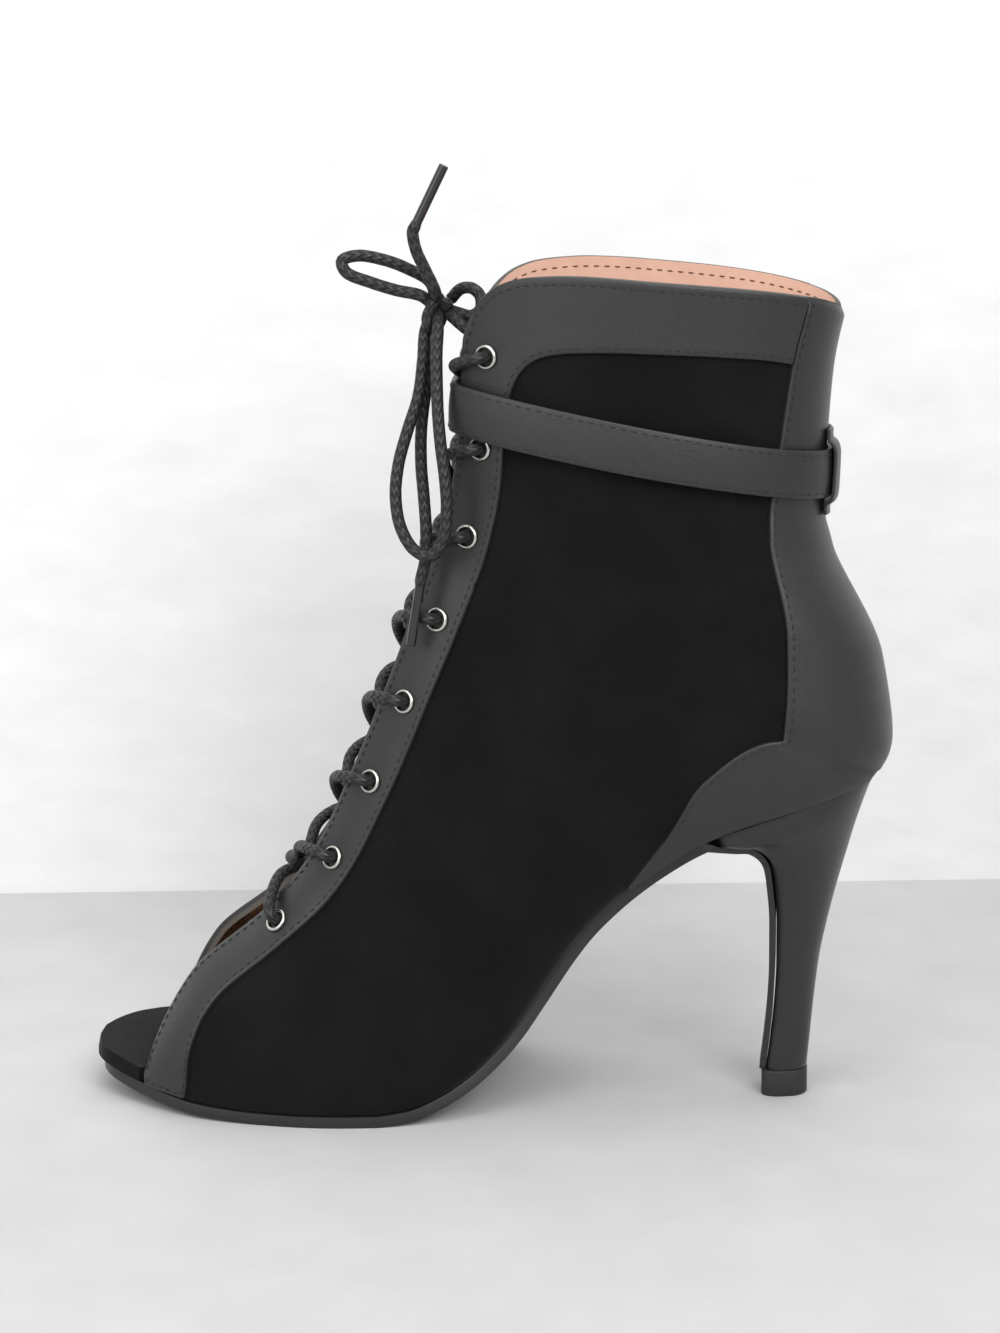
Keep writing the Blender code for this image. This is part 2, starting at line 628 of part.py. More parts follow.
def make_eyelet(side, number, finish):
    """A turned metal ring: a round flange over the facing and a barrel through the upper's wall."""
    row, way = eyelets_at[side][number]
    foot = OVERLAY_TOP + CLEARANCE
    inside = -UPPER_WALL
    middle = (EYELET_BARREL + EYELET_FLANGE) / 2
    profile = [
        (EYELET_BORE, inside), (EYELET_BARREL, inside), (EYELET_BARREL, foot), (EYELET_FLANGE, foot),
        (EYELET_FLANGE, foot + 0.4 * EYELET_HEIGHT), (middle, foot + EYELET_HEIGHT),
        (EYELET_BORE, foot + 0.7 * EYELET_HEIGHT),
    ]
    name = f"eyelet_{SIDE_NAMES[side]}_{number + 1}"
    points = []
    faces = []
    count = len(profile)
    for turn in range(EYELET_SIDES):
        angle = 2 * math.pi * turn / EYELET_SIDES
        points += [(radius * math.cos(angle), radius * math.sin(angle), height) for radius, height in profile]
        after = (turn + 1) % EYELET_SIDES
        for c in range(count):
            d = (c + 1) % count
            faces.append((turn * count + c, turn * count + d, after * count + d, after * count + c))
    mesh = mesh_from(name, points, faces)
    piece = add_object(name, mesh, finish)
    piece.matrix_world = eyelet_frame(row, way, side)
    return piece


def strap_row(way, side, offset):
    """The row at which the strap's middle line, or a line beside it, passes a way round."""
    front = CURVES["throat_x"](12)
    back = CURVES["base_x"](12)
    rows = np.linspace(10, LAST_ROW, 81)
    points = [skin(row, way, side) for row in rows]
    over = [
        z - offset - STRAP_BACK_HEIGHT - (STRAP_FRONT_HEIGHT - STRAP_BACK_HEIGHT) * (x - back) / (front - back)
        for x, y, z in points
    ]
    return float(np.interp(0, over, rows))


def make_strap(finish):
    """The ankle strap: one ring round the upper, which bridges the throat in front."""
    ways = (0.0, 0.04, 0.09, 0.16, 0.26, 0.38, 0.50, 0.62, 0.72, 0.80, 0.86, 0.91, 0.95, 0.98)
    stations = []
    for side in (1, -1):
        line = []
        for way in ways:
            over = STRAP_OVER + 0.0009 * np.clip((0.30 - way) / 0.18, 0, 1)
            line.append([
                over_skin(strap_row(way, side, offset), way, side, over + STRAP_THICKNESS)
                for offset in (-STRAP_WIDTH / 2, STRAP_WIDTH / 2)
            ])
        stations.append(line)
    back = [
        over_skin(strap_row(1, 1, offset), 1, 1, STRAP_OVER + STRAP_THICKNESS)
        for offset in (-STRAP_WIDTH / 2, STRAP_WIDTH / 2)
    ]
    left, right = stations
    front = []
    for across in (0.6, 0.2, -0.2, -0.6):
        place = []
        for one, other in zip(left[0], right[0]):
            point = other + (one - other) * (across + 1) / 2
            place.append(point + np.array([STRAP_BULGE * (1 - across * across), 0, 0]))
        front.append(place)
    ring = [*left, back, *right[::-1], *front[::-1]]
    points = [point for station in ring for point in station]
    faces = [
        (2 * i, 2 * i + 1, 2 * ((i + 1) % len(ring)) + 1, 2 * ((i + 1) % len(ring)))
        for i in range(len(ring))
    ]
    mesh = mesh_from("ankle_strap", points, faces)
    face_out(mesh, ankle_middle)
    piece = add_object("ankle_strap", mesh, finish)
    wall(piece, STRAP_THICKNESS)
    return piece


def ankle_middle(point):
    """The middle of the ankle, level with a point."""
    return Vector((-0.38 * LENGTH, 0, point.z))


def make_keeper(finish):
    """The keeper: a short band at the back seam that holds the strap."""
    line = [(way, 1) for way in KEEPER_WAYS] + [(1.0, 1)] + [(way, -1) for way in KEEPER_WAYS[::-1]]
    points = []
    for along, over in zip(KEEPER["along"], KEEPER["over"]):
        for way, side in line:
            points.append(over_skin(strap_row(way, side, along), way, side, over + CLEARANCE))
    mesh = mesh_from("strap_keeper", points, grid_faces(len(KEEPER["along"]), len(line)))
    face_out(mesh, ankle_middle)
    piece = add_object("strap_keeper", mesh, finish)
    wall(piece, KEEPER_THICKNESS)
    return piece


def smooth_line(points, count):
    """Evenly spaced points on a smooth curve through the given ones."""
    points = np.array(points, float)
    run = np.concatenate([[0], np.cumsum(np.linalg.norm(np.diff(points, axis=0), axis=1) ** 0.5)])
    slopes = np.gradient(points, run, axis=0)
    fine = []
    for i in range(len(points) - 1):
        step = run[i + 1] - run[i]
        for t in np.linspace(0, 1, 24, endpoint=i == len(points) - 2):
            fine.append(
                points[i] * (1 + 2 * t) * (1 - t) ** 2
                + points[i + 1] * t * t * (3 - 2 * t)
                + step * (slopes[i] * t * (1 - t) ** 2 - slopes[i + 1] * t * t * (1 - t))
            )
    fine = np.array(fine)
    length = np.concatenate([[0], np.cumsum(np.linalg.norm(np.diff(fine, axis=0), axis=1))])
    at = np.linspace(0, length[-1], count)
    return np.stack([np.interp(at, length, fine[:, i]) for i in range(3)], axis=1)


def cord(name, points, diameter, finish, group="heeled_dance_shoe", rounding=2):
    """A cord: a curve with a round section and closed ends."""
    curve = bpy.data.curves.new(name, "CURVE")
    curve.dimensions = "3D"
    curve.bevel_depth = diameter / 2
    curve.bevel_resolution = rounding
    curve.use_fill_caps = True
    spline = curve.splines.new("POLY")
    spline.points.add(len(points) - 1)
    for target, point in zip(spline.points, points):
        target.co = (*point, 1)
    return add_object(name, curve, finish, group)


def strand(name, points, finish, group="heeled_dance_shoe"):
    """A stretch of lace as a mesh, so that another stretch can be joined to it."""
    holder = cord(name + "_line", points, LACE, None, group, 1)
    mesh = bpy.data.meshes.new_from_object(holder)
    bpy.data.objects.remove(holder, do_unlink=True)
    shape = bmesh.new()
    shape.from_mesh(mesh)
    bmesh.ops.remove_doubles(shape, verts=shape.verts, dist=0.00002)
    bmesh.ops.recalc_face_normals(shape, faces=shape.faces)
    shape.to_mesh(mesh)
    shape.free()
    return add_object(name, mesh, finish, group)


def join_to(piece, other):
    """Joins a second body, kept as a cutter, to a piece."""
    other.hide_render = True
    other.display_type = "WIRE"
    union = piece.modifiers.new("join", "BOOLEAN")
    union.operation = "UNION"
    union.solver = "EXACT"
    union.object = other


def throat_frame(run_at):
    """A point of the middle line between the throat's edges, and the direction out of the throat there."""
    rows, edge = edge_of[1]
    run = np.concatenate([[0], np.cumsum(np.linalg.norm(np.diff(edge[:, [0, 2]], axis=0), axis=1))])
    before, point, after = [
        np.array([np.interp(run_at + step, run, edge[:, i]) for i in (0, 2)]) for step in (-0.003, 0, 0.003)
    ]
    along = (after - before) / np.linalg.norm(after - before)
    return np.array([point[0], 0, point[1]]), np.array([along[1], 0, -along[0]]), float(np.interp(run_at, run, rows))


def run_beside(point):
    """How far along the throat's edge a point of the facing lies."""
    rows, edge = edge_of[1]
    flat = edge[:, [0, 2]]
    run = np.concatenate([[0], np.cumsum(np.linalg.norm(np.diff(flat, axis=0), axis=1))])
    return float(run[int(np.argmin(np.linalg.norm(flat - point[[0, 2]], axis=1)))])


def leave_eyelet(side, number, slant):
    """How a strand starts: over the eyelet's middle, then over the facing's edge, a little down or up from there."""
    row, way = eyelets_at[side][number]
    over_flange = OVERLAY_TOP + EYELET_HEIGHT + 3 * CLEARANCE + LACE / 2
    over_facing = OVERLAY_TOP + 2 * CLEARANCE + LACE / 2
    start = over_skin(row, way, side, over_flange)
    run = run_beside(skin(row, way, side))
    edge_row = throat_frame(run + slant)[2]
    between = over_skin((row + edge_row) / 2, way / 2, side, over_facing + CLEARANCE)
    return [start, between, over_skin(edge_row, 0.0, side, over_facing)], run


def crossing_line(number, side, level):
    """The route of one strand of a crossing."""
    first, upper_run = leave_eyelet(side, number + 1, -0.0034)
    last, lower_run = leave_eyelet(-side, number, 0.0034)
    points = list(first)
    for along, across, over in zip(CROSSING["along"], CROSSING["across"], CROSSING[level]):
        if number == 0 and along > 0.6:
            continue
        middle, out, row = throat_frame(upper_run + (lower_run - upper_run) * along)
        half = CURVES["gap"](row)
        points.append(middle + over * out + np.array([0, side * across * half, 0]))
    if number == 0:
        middle, out, row = throat_frame(upper_run + (lower_run - upper_run) * 0.72)
        half = CURVES["gap"](row)
        points.append(middle + 0.0040 * out - np.array([0, side * 0.62 * half, 0]))
        points += last[::-1]
    return smooth_line(points, 12)


def make_crossing(number, finish):
    """The lace between two pairs of eyelets: two strands joined where they cross."""
    under_strap = number == EYELETS - 2
    upper = crossing_line(number, 1, "strapped" if under_strap else "over")
    lower = crossing_line(number, -1, "strapped_under" if under_strap else "under")
    name = f"lace_crossing_{number + 1}"
    piece = strand(name, upper, finish)
    join_to(piece, strand(name + "_other", lower, None, "cutters"))
    return piece


def make_knot(finish):
    """The knot: a short turn of lace round the two stretches that tie it to the throat."""
    tie = smooth_line(KNOT_TIE, 6)
    piece = strand("lace_knot", tie, finish)
    join_to(piece, strand("lace_knot_other", tie * np.array([1, -1, 1]), None, "cutters"))
    bpy.ops.mesh.primitive_torus_add(
        major_segments=12, minor_segments=8, major_radius=0.0024, minor_radius=LACE / 2,
        location=KNOT_PLACE, rotation=(math.radians(20), math.radians(60), 0),
    )
    ring = bpy.context.object
    ring.name = "lace_knot_turn"
    for group in list(ring.users_collection):
        group.objects.unlink(ring)
    bpy.data.collections["cutters"].objects.link(ring)
    join_to(piece, ring)
    return piece


def make_aglet(name, ends, finish):
    """The hard sleeve on a lace's end."""
    return cord(name, [np.array(ends[0]), np.array(ends[1])], AGLET, finish)


def tongue_point(row, share):
    """A point of the tongue's outer face: its edges lie against the wall, and its middle lies in the throat."""
    side = 1 if share >= 0 else -1
    points = section(row, side)
    throat = points[0][[0, 2]]
    base = points[-1][[0, 2]]
    length = np.linalg.norm(base - throat)
    depth = (points[:, [0, 2]] - throat) @ (base - throat) / length
    across = side * points[:, 1]
    steps = np.stack([np.gradient(depth), np.gradient(across)])
    steps = (UPPER_WALL + TONGUE_GAP) * steps / np.linalg.norm(steps, axis=0)
    widest = int(np.argmax(across))
    edge_depth = float(np.interp(TONGUE_HALF, (across - steps[0])[:widest], (depth + steps[1])[:widest]))
    place = TONGUE_DEPTH + (edge_depth - TONGUE_DEPTH) * abs(share) ** 1.5
    x, z = throat + (base - throat) / length * place
    return np.array([x, share * TONGUE_HALF, z])


def make_tongue(finish):
    """The tongue: one curved sheet behind the lacing, from the toe's opening up to the collar."""
    rows = np.linspace(*TONGUE_ROWS, 24)
    shares = np.linspace(-1, 1, 7)
    points = [tongue_point(row, share) for row in rows for share in shares]
    mesh = mesh_from("tongue", points, grid_faces(len(rows), len(shares)))
    face_out(mesh, shoe_middle)
    piece = add_object("tongue", mesh, finish)
    wall(piece, TONGUE_THICKNESS)
    return piece


def strip_solid(name, stations, columns, finish):
    """A closed slab from stations, each its lower middle, its upper middle and how far it reaches to each side."""
    across = np.linspace(0, 1, columns)
    points = []
    for level in (0, 1):
        for station in stations:
            middle = station[level]
            inner = station[2]
            outer = station[3]
            for share in across:
                points.append((middle[0], -outer + (inner + outer) * share, middle[1]))
    rows = len(stations)
    count = rows * columns
    faces = grid_faces(rows, columns) + grid_faces(rows, columns, count)
    rim = [(r, 0) for r in range(rows)] + [(rows - 1, c) for c in range(1, columns)]
    rim += [(r, columns - 1) for r in range(rows - 2, -1, -1)] + [(0, c) for c in range(columns - 2, 0, -1)]
    for (r0, c0), (r1, c1) in zip(rim, rim[1:] + rim[:1]):
        low = (r0 * columns + c0, r1 * columns + c1)
        faces.append((*low, low[1] + count, low[0] + count))
    return add_object(name, mesh_from(name, points, faces), finish)


def sole_stations(depths, xs, reach):
    """Stations along the sole's top: how far under it the lower and the upper face lie, and the reach to each side."""
    made = []
    for x in xs:
        ahead = sole_top(x + NEAR)
        behind = sole_top(x - NEAR)
        slope = math.atan2(ahead - behind, 2 * NEAR)
        down = np.array([math.sin(slope), -math.cos(slope)])
        top = np.array([x, sole_top(x)])
        made.append((top + depths[0] * down, top + depths[1] * down, reach(x, 1), reach(x, -1)))
    return made


def outsole_reach(x, side):
    """The outsole's half width: the outline, set back at the toe and trimmed at the waist."""
    toe = np.clip((x / LENGTH - 0.17) / 0.13, 0, 1)
    waist = np.clip((-0.10 - x / LENGTH) / 0.15, 0, 1)
    return outline[side](x + TOE_SETBACK * toe) - WAIST_TRIM * waist


def flap_line():
    """The flap's outer face, seen from the side: its points and the direction through it at each."""
    face = [(x * LENGTH, z * SEAT_HEIGHT) for x, z in zip(HEEL["flap_x"], HEEL["flap_z"])]
    line = []
    for i, point in enumerate(face):
        x0, z0 = face[max(i - 1, 0)]
        x1, z1 = face[min(i + 1, len(face) - 1)]
        run = math.hypot(x1 - x0, z1 - z0)
        line.append((np.array(point), np.array([(z1 - z0) / run, -(x1 - x0) / run])))
    return line


def make_outsole(finish):
    """The leather sole, thick from the toe along the arch, then down over the breast of the heel as a thin flap."""
    tip = OUTLINE["x"][-1] * LENGTH - TOE_SETBACK
    front = tip - (tip - 0.20 * LENGTH) * (1 - np.cos(np.linspace(0, math.pi / 2, 8)))
    forefoot = np.linspace(0.20 * LENGTH, -0.13 * LENGTH, 11)[1:]
    flat_ends = [x * LENGTH for x, lift, spring in zip(*SOLE_TOP.values()) if lift == spring == 0]
    arch = np.linspace(-0.13 * LENGTH, -0.455 * LENGTH, 16)[1:]
    xs = sorted({*front, *forefoot, *flat_ends, *arch}, reverse=True)
    stations = sole_stations((SOLE_THICKNESS, 0), xs, outsole_reach)
    for (lower, back), half in zip(flap_line(), HEEL["flap_half"]):
        stations.append((lower, lower + FLAP_THICKNESS * back, half * BALL_WIDTH, half * BALL_WIDTH))
    return strip_solid("outsole", stations, 5, finish)


def make_insole(finish):
    """The board inside the upper, which widens ahead of it into the toe's platform."""
    shoulder = SECTIONS["base_x"][0] * LENGTH + INSOLE_SHOULDER
    inset = SOLE_LEDGE + UPPER_WALL + INSOLE_CLEARANCE

    def reach(x, side):
        if x > shoulder:
            return outline[side](x)
        toe = np.clip((x / LENGTH - 0.17) / 0.06, 0, 1)
        seat = np.clip((-0.56 - x / LENGTH) / 0.06, 0, 1)
        return max(outline[side](x + inset * (0.7 * toe - seat)) - inset, 0.0006)

    tip = OUTLINE["x"][-1] * LENGTH
    front = tip - (tip - shoulder) * (1 - np.cos(np.linspace(0, math.pi / 2, 9)))
    inside = np.linspace(shoulder - NEAR, -0.60 * LENGTH, 26)
    back = -0.60 * LENGTH - (0.048 * LENGTH) * np.sin(np.linspace(0, math.pi / 2, 6))[1:]
    xs = [*front[:-1], shoulder + NEAR, *inside, *back]
    stations = sole_stations((-CLEARANCE, -CLEARANCE - INSOLE_THICKNESS), xs, reach)
    return strip_solid("insole", stations, 5, finish)


def heel_shares(half, flat):
    """One ring of the heel as shares of the way from front to back and half widths: a flat front, a round back."""
    shares = [(0.0, 0.0), (0.0, flat / 2), (0.0, flat), (0.10, flat + 0.72 * (half - flat)), (0.32, half)]
    for turn in np.linspace(0, math.pi / 2, 7)[1:]:
        shares.append((0.32 + 0.68 * math.sin(turn), half * math.cos(turn) ** 0.9 if turn < 1.57 else 0.0))
    return shares + [(along, -across) for along, across in shares[-2:0:-1]]


def heel_ring(ring, ahead=0.0, grow=0.0):
    """The points of one ring of the heel, which begins just behind the flap."""
    lower, back = flap_line()[ring]
    front = lower + (FLAP_THICKNESS + CLEARANCE) * back + np.array([ahead, 0])
    end = np.array([HEEL["back_x"][ring] * LENGTH - grow, HEEL["back_z"][ring] * SEAT_HEIGHT])
    half = HEEL["half"][ring] * BALL_WIDTH + grow
    points = []
    for along, across in heel_shares(half, HEEL["flat"][ring] * half):
        middle = front + (end - front) * along
        points.append((middle[0], across, middle[1]))
    return points


def seat_ring():
    """The edge of the heel's top, which follows the sole's top and lies under the upper's own edge."""
    front, back = [x * LENGTH for x in SEAT_ENDS]
    points = []
    for along, across in heel_shares(1.0, 0.9):
        x = front + (back - front) * along
        side = 1 if across >= 0 else -1
        reach = outline[side](x) - SOLE_LEDGE
        if along == 0:
            reach *= abs(across)
        points.append((x, side * reach if abs(across) > 0 else 0.0, sole_top(x) - CLEARANCE))
    return points


def loft(name, rings, finish):
    """A closed solid through rings of equal counts, capped at both ends."""
    count = len(rings[0])
    points = [point for ring in rings for point in ring]
    faces = []
    for r in range(len(rings) - 1):
        for c in range(count):
            d = (c + 1) % count
            faces.append((r * count + c, r * count + d, (r + 1) * count + d, (r + 1) * count + c))
    half = count // 2
    for first in (0, (len(rings) - 1) * count):
        faces.append((first + count - 2, first + count - 1, first, first + 1, first + 2, first + 3, first + count - 3))
        for c in range(3, half - 1):
            faces.append((first + c, first + c + 1, first + count - c - 1, first + count - c))
        faces.append((first + half - 1, first + half, first + half + 1))
    return add_object(name, mesh_from(name, points, faces), finish)


def make_heel(finish):
    """The covered block: the seat's outline at the top, drawn down to a slim stem."""
    return loft("heel", [seat_ring(), *[heel_ring(ring) for ring in range(len(HEEL["half"]))]], finish)


def make_top_lift(finish):
    """The hard tip under the heel, which reaches under the flap and stands on the floor."""
    outline_ring = heel_ring(len(HEEL["half"]) - 1, 0.6 * FLAP_THICKNESS, CLEARANCE)
    rings = []
    for height in (HEEL["flap_z"][-1] * SEAT_HEIGHT - CLEARANCE, 0.0):
        rings.append([(x, y, height) for x, y, _ in outline_ring])
    return loft("top_lift", rings, finish)


def main():
    for old in list(bpy.data.objects):
        bpy.data.objects.remove(old, do_unlink=True)
    suede = material("black_suede", (0.012, 0.012, 0.013), 0.95)
    leather = material("black_leather", (0.018, 0.018, 0.019), 0.45)
    sole_leather = material("black_sole", (0.015, 0.015, 0.016), 0.55)
    grey_cloth = material("grey_lining", (0.10, 0.11, 0.12), 0.9)
    hard_tip = material("black_tip", (0.02, 0.02, 0.02), 0.5)
    nickel = material("antique_nickel", (0.42, 0.38, 0.33), 0.35, 1.0)
    lace = material("black_lace", (0.02, 0.02, 0.022), 0.6)
    aglet = material("black_sleeve", (0.02, 0.02, 0.02), 0.35)
    holes = {side: make_holes(side) for side in (1, -1)}
    make_upper(suede, holes)
    make_outsole(sole_leather)
    make_insole(suede)
    make_tongue(grey_cloth)
    make_heel(leather)
    make_top_lift(hard_tip)
    for side in (1, -1):
        make_facing(side, leather, holes)
        for number in range(EYELETS):
            make_eyelet(side, number, nickel)
    make_counter(leather)
    make_strap(leather)
    make_keeper(leather)
    for number in range(EYELETS - 1):
        make_crossing(number, lace)
    make_knot(lace)
    cord("lace_loop_ahead", smooth_line(LOOP_AHEAD, 10), LACE, lace)
    cord("lace_loop_down", smooth_line(LOOP_DOWN, 20), LACE, lace)
    cord("lace_end_up", smooth_line(END_UP, 4), LACE, lace)
    cord("lace_end_down", smooth_line(END_DOWN, 10), LACE, lace)
    make_aglet("aglet_up", END_UP_AGLET, aglet)
    make_aglet("aglet_down", END_DOWN_AGLET, aglet)


main()
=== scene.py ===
"""The heeled dance shoe dressed for its photograph: suede, leather, linings, stitches, eyelets and a braided lace.

Every piece is worked out from the same tables and surface as the CAD, in metres, +X to the toe, +Y to the inner side
and +Z up, and stands for the node that it dresses.
"""

import math

import bmesh
import bpy
import numpy as np
from mathutils import Matrix, Vector


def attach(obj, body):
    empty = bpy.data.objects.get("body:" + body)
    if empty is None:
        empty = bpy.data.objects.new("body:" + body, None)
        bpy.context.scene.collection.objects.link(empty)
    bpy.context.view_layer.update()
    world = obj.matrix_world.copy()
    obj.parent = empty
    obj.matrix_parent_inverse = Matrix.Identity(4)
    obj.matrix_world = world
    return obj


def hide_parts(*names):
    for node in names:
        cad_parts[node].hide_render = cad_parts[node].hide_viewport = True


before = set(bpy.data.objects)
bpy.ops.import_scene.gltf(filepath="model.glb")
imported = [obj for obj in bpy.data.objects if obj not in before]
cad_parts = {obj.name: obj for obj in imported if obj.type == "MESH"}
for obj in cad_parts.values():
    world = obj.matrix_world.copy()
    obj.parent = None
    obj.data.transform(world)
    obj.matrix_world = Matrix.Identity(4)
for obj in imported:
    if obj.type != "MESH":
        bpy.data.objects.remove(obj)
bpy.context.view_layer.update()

# The last
LENGTH = 0.234
BALL_WIDTH = 0.082
SEAT_HEIGHT = 0.0999
UPPER_HEIGHT = 0.147
TOE_SPRING = 0.0078

# Thicknesses and clearances
SOLE_THICKNESS = 0.0033
FLAP_THICKNESS = 0.0018
INSOLE_THICKNESS = 0.0042
UPPER_WALL = 0.0016
OVERLAY_THICKNESS = 0.0009
TONGUE_THICKNESS = 0.0015
STRAP_THICKNESS = 0.0018
CLEARANCE = 0.0003

# The sole and the insole
SOLE_LEDGE = 0.0012
TOE_SETBACK = 0.0025
WAIST_TRIM = 0.002
INSOLE_CLEARANCE = 0.0007
INSOLE_SHOULDER = 0.0024

# The tongue
TONGUE_HALF = 0.0205
TONGUE_DEPTH = 0.0045
TONGUE_GAP = 0.0009
TONGUE_ROWS = (2.4, 13.2)

# The facings, the collar band and the counter
OVERLAY_GAP = 0.0006
OVERLAY_TOP = OVERLAY_GAP + OVERLAY_THICKNESS
FACING_WIDTH = 0.0155
PANEL_GAP = 0.004

# The eyelets: their places, and their radii and heights
EYELETS = 8
EYELET_INSET = 0.0088
EYELET_PITCH = 0.0257
EYELET_TOP = 0.8238
EYELET_BORE = 0.00225
EYELET_BARREL = 0.00275
EYELET_FLANGE = 0.0035

# The strap and its keeper
STRAP_WIDTH = 0.014
STRAP_FRONT_HEIGHT = 0.2064
STRAP_BACK_HEIGHT = 0.1862
STRAP_OVER = 0.002
STRAP_BULGE = 0.0012
KEEPER_THICKNESS = 0.001
KEEPER_WAYS = (0.957, 0.98)

# The lace
LACE = 0.0034
AGLET = 0.0028

# One row for each section of the upper, from the toe's corner up to the collar. A section is a straight cut seen from
# the side, from the throat's edge to the sole, or for the last rows to the back seam.
#   throat_x   its place on the throat's edge, a share of LENGTH
#   rise       how far that is above the section's base, a share of UPPER_HEIGHT
#   base_x     its place on the sole or the back seam, a share of LENGTH
#   back_rise  how far that is above the seat, a share of UPPER_HEIGHT; up to row 7 it only sets how steeply row 8 begins
#   gap        half the throat's opening, a share of BALL_WIDTH
#   inner      its half width on the inner side, a share of BALL_WIDTH
#   outer      its half width on the outer side, a share of BALL_WIDTH
#   widest     where it is widest, a share of the way from the throat
#   fullness   the exponent of its lower curve: 2 is an ellipse, more is squarer
SECTIONS = {
    "throat_x": (0.2368, 0.222, 0.179, 0.084, 0.021, -0.027, -0.068, -0.107, -0.132, -0.141, -0.155, -0.1637, -0.1667,
                 -0.172, -0.175),
    "rise": (0.028, 0.110, 0.2435, 0.3755, 0.478, 0.463, 0.408, 0.412, 0.436, 0.477, 0.565, 0.660, 0.722, 0.858, 1.0),
    "base_x": (0.239, 0.197, 0.132, 0.013, -0.128, -0.246, -0.350, -0.507, -0.6650, -0.6786, -0.6645, -0.6034, -0.592,
               -0.601, -0.624),
    "back_rise": (0, 0, 0, 0, 0, 0, 0, -0.068, 0, 0.068, 0.2245, 0.435, 0.531, 0.7755, 0.952),
    "gap": (0.320, 0.300, 0.232, 0.183, 0.177, 0.175, 0.172, 0.172, 0.172, 0.172, 0.174, 0.176, 0.178, 0.183, 0.188),
    "inner": (0.331, 0.393, 0.457, 0.494, 0.439, 0.390, 0.366, 0.366, 0.378, 0.378, 0.372, 0.360, 0.354, 0.345, 0.348),
    "outer": (0.345, 0.402, 0.467, 0.510, 0.473, 0.415, 0.384, 0.378, 0.384, 0.380, 0.372, 0.360, 0.354, 0.345, 0.348),
    "widest": (0.50, 0.60, 0.68, 0.75, 0.72, 0.62, 0.55, 0.55, 0.58, 0.58, 0.55, 0.50, 0.48, 0.47, 0.47),
    "fullness": (2.0, 2.0, 2.0, 2.0, 2.0, 2.0, 2.0, 2.1, 2.35, 2.35, 2.2, 2.0, 1.9, 2.0, 2.0),
}
SEAT_ROW = 8

# The top of the sole, seen from the side, from the toe back to the seat.
#   x       a share of LENGTH
#   spring  its height over the tread, a share of TOE_SPRING
#   lift    its height over the tread, a share of the seat's
SOLE_TOP = {
    "x": (0.321, 0.295, 0.2735, 0.239, 0.209, 0.171, 0.090, 0.048, -0.048, -0.095, -0.130, -0.166, -0.198, -0.2235,
          -0.246, -0.289, -0.3095, -0.335, -0.363, -0.401, -0.453, -0.507, -0.568, -0.632, -0.669),
    "spring": (1.0, 0.825, 0.66, 0.447, 0.301, 0.155, 0.019, 0, 0, 0, 0, 0, 0, 0, 0, 0, 0, 0, 0, 0, 0, 0, 0, 0, 0),
    "lift": (0, 0, 0, 0, 0, 0, 0, 0, 0, 0.010, 0.040, 0.090, 0.157, 0.227, 0.306, 0.462, 0.526, 0.592, 0.655, 0.727,
             0.811, 0.871, 0.923, 0.974, 1.0),
}

# The outline of the sole, seen from above, from the heel's back to the toe: x as a share of LENGTH, and how far the
# edge lies to the inner and to the outer side, as shares of BALL_WIDTH.
OUTLINE = {
    "x": (-0.6690, -0.6625, -0.645, -0.620, -0.581, -0.530, -0.4615, -0.393, -0.3205, -0.256, -0.197, -0.128, -0.051,
          0.017, 0.0855, 0.162, 0.214, 0.256, 0.286, 0.3035, 0.314, 0.3205),
    "inner": (0.012, 0.092, 0.173, 0.235, 0.283, 0.300, 0.274, 0.238, 0.232, 0.268, 0.335, 0.415, 0.476, 0.490, 0.476,
              0.437, 0.378, 0.309, 0.254, 0.211, 0.161, 0.090),
    "outer": (0.012, 0.092, 0.173, 0.235, 0.283, 0.302, 0.293, 0.287, 0.305, 0.354, 0.409, 0.470, 0.504, 0.507, 0.488,
              0.445, 0.390, 0.332, 0.238, 0.146, 0.067, 0.0),
}

# The collar's edge and the lower edge of the collar band: the way round, and the height over the seat as a share of
# UPPER_HEIGHT. The collar's way starts at the throat, and the band's at the facing's seam.
COLLAR_EDGE = {
    "round": (0.0, 0.02, 0.05, 0.10, 0.16, 0.26, 0.5, 0.7, 0.88, 1.0),
    "height": (0.845, 0.894, 0.930, 0.960, 0.974, 0.979, 0.966, 0.949, 0.924, 0.899),
}
BAND_EDGE = {
    "round": (0.0, 0.015, 0.04, 0.08, 0.14, 0.24, 0.43, 0.58, 0.76),
    "height": (0.700, 0.765, 0.803, 0.825, 0.835, 0.838, 0.832, 0.822, 0.795),
}

# Where the facing turns into the collar band: places along the collar's edge, and those on the band's lower edge that
# lie across from them, both as ways round from the throat. The lower edge starts at the facing's seam.
TURN = {
    "collar": (0.012, 0.03, 0.06, 0.10, 0.15, 0.21, 0.28, 0.36, 0.45, 0.54, 0.63, 0.72, 0.80),
    "band": (0.022, 0.031, 0.045, 0.065, 0.095, 0.135, 0.180, 0.240, 0.320, 0.405, 0.495, 0.585, 0.665),
}

# The counter's front edge, from the collar down to the sole: how far round, against the height of the section.
COUNTER_EDGE = {
    "row": (3.0, 5.9, 6.6, 7.2, 8.0, 9.0, 10.0, 11.0, 12.0, 13.0, 14.0),
    "round": (1.0, 1.0, 0.90, 0.80, 0.715, 0.70, 0.715, 0.765, 0.795, 0.82, 0.835),
}

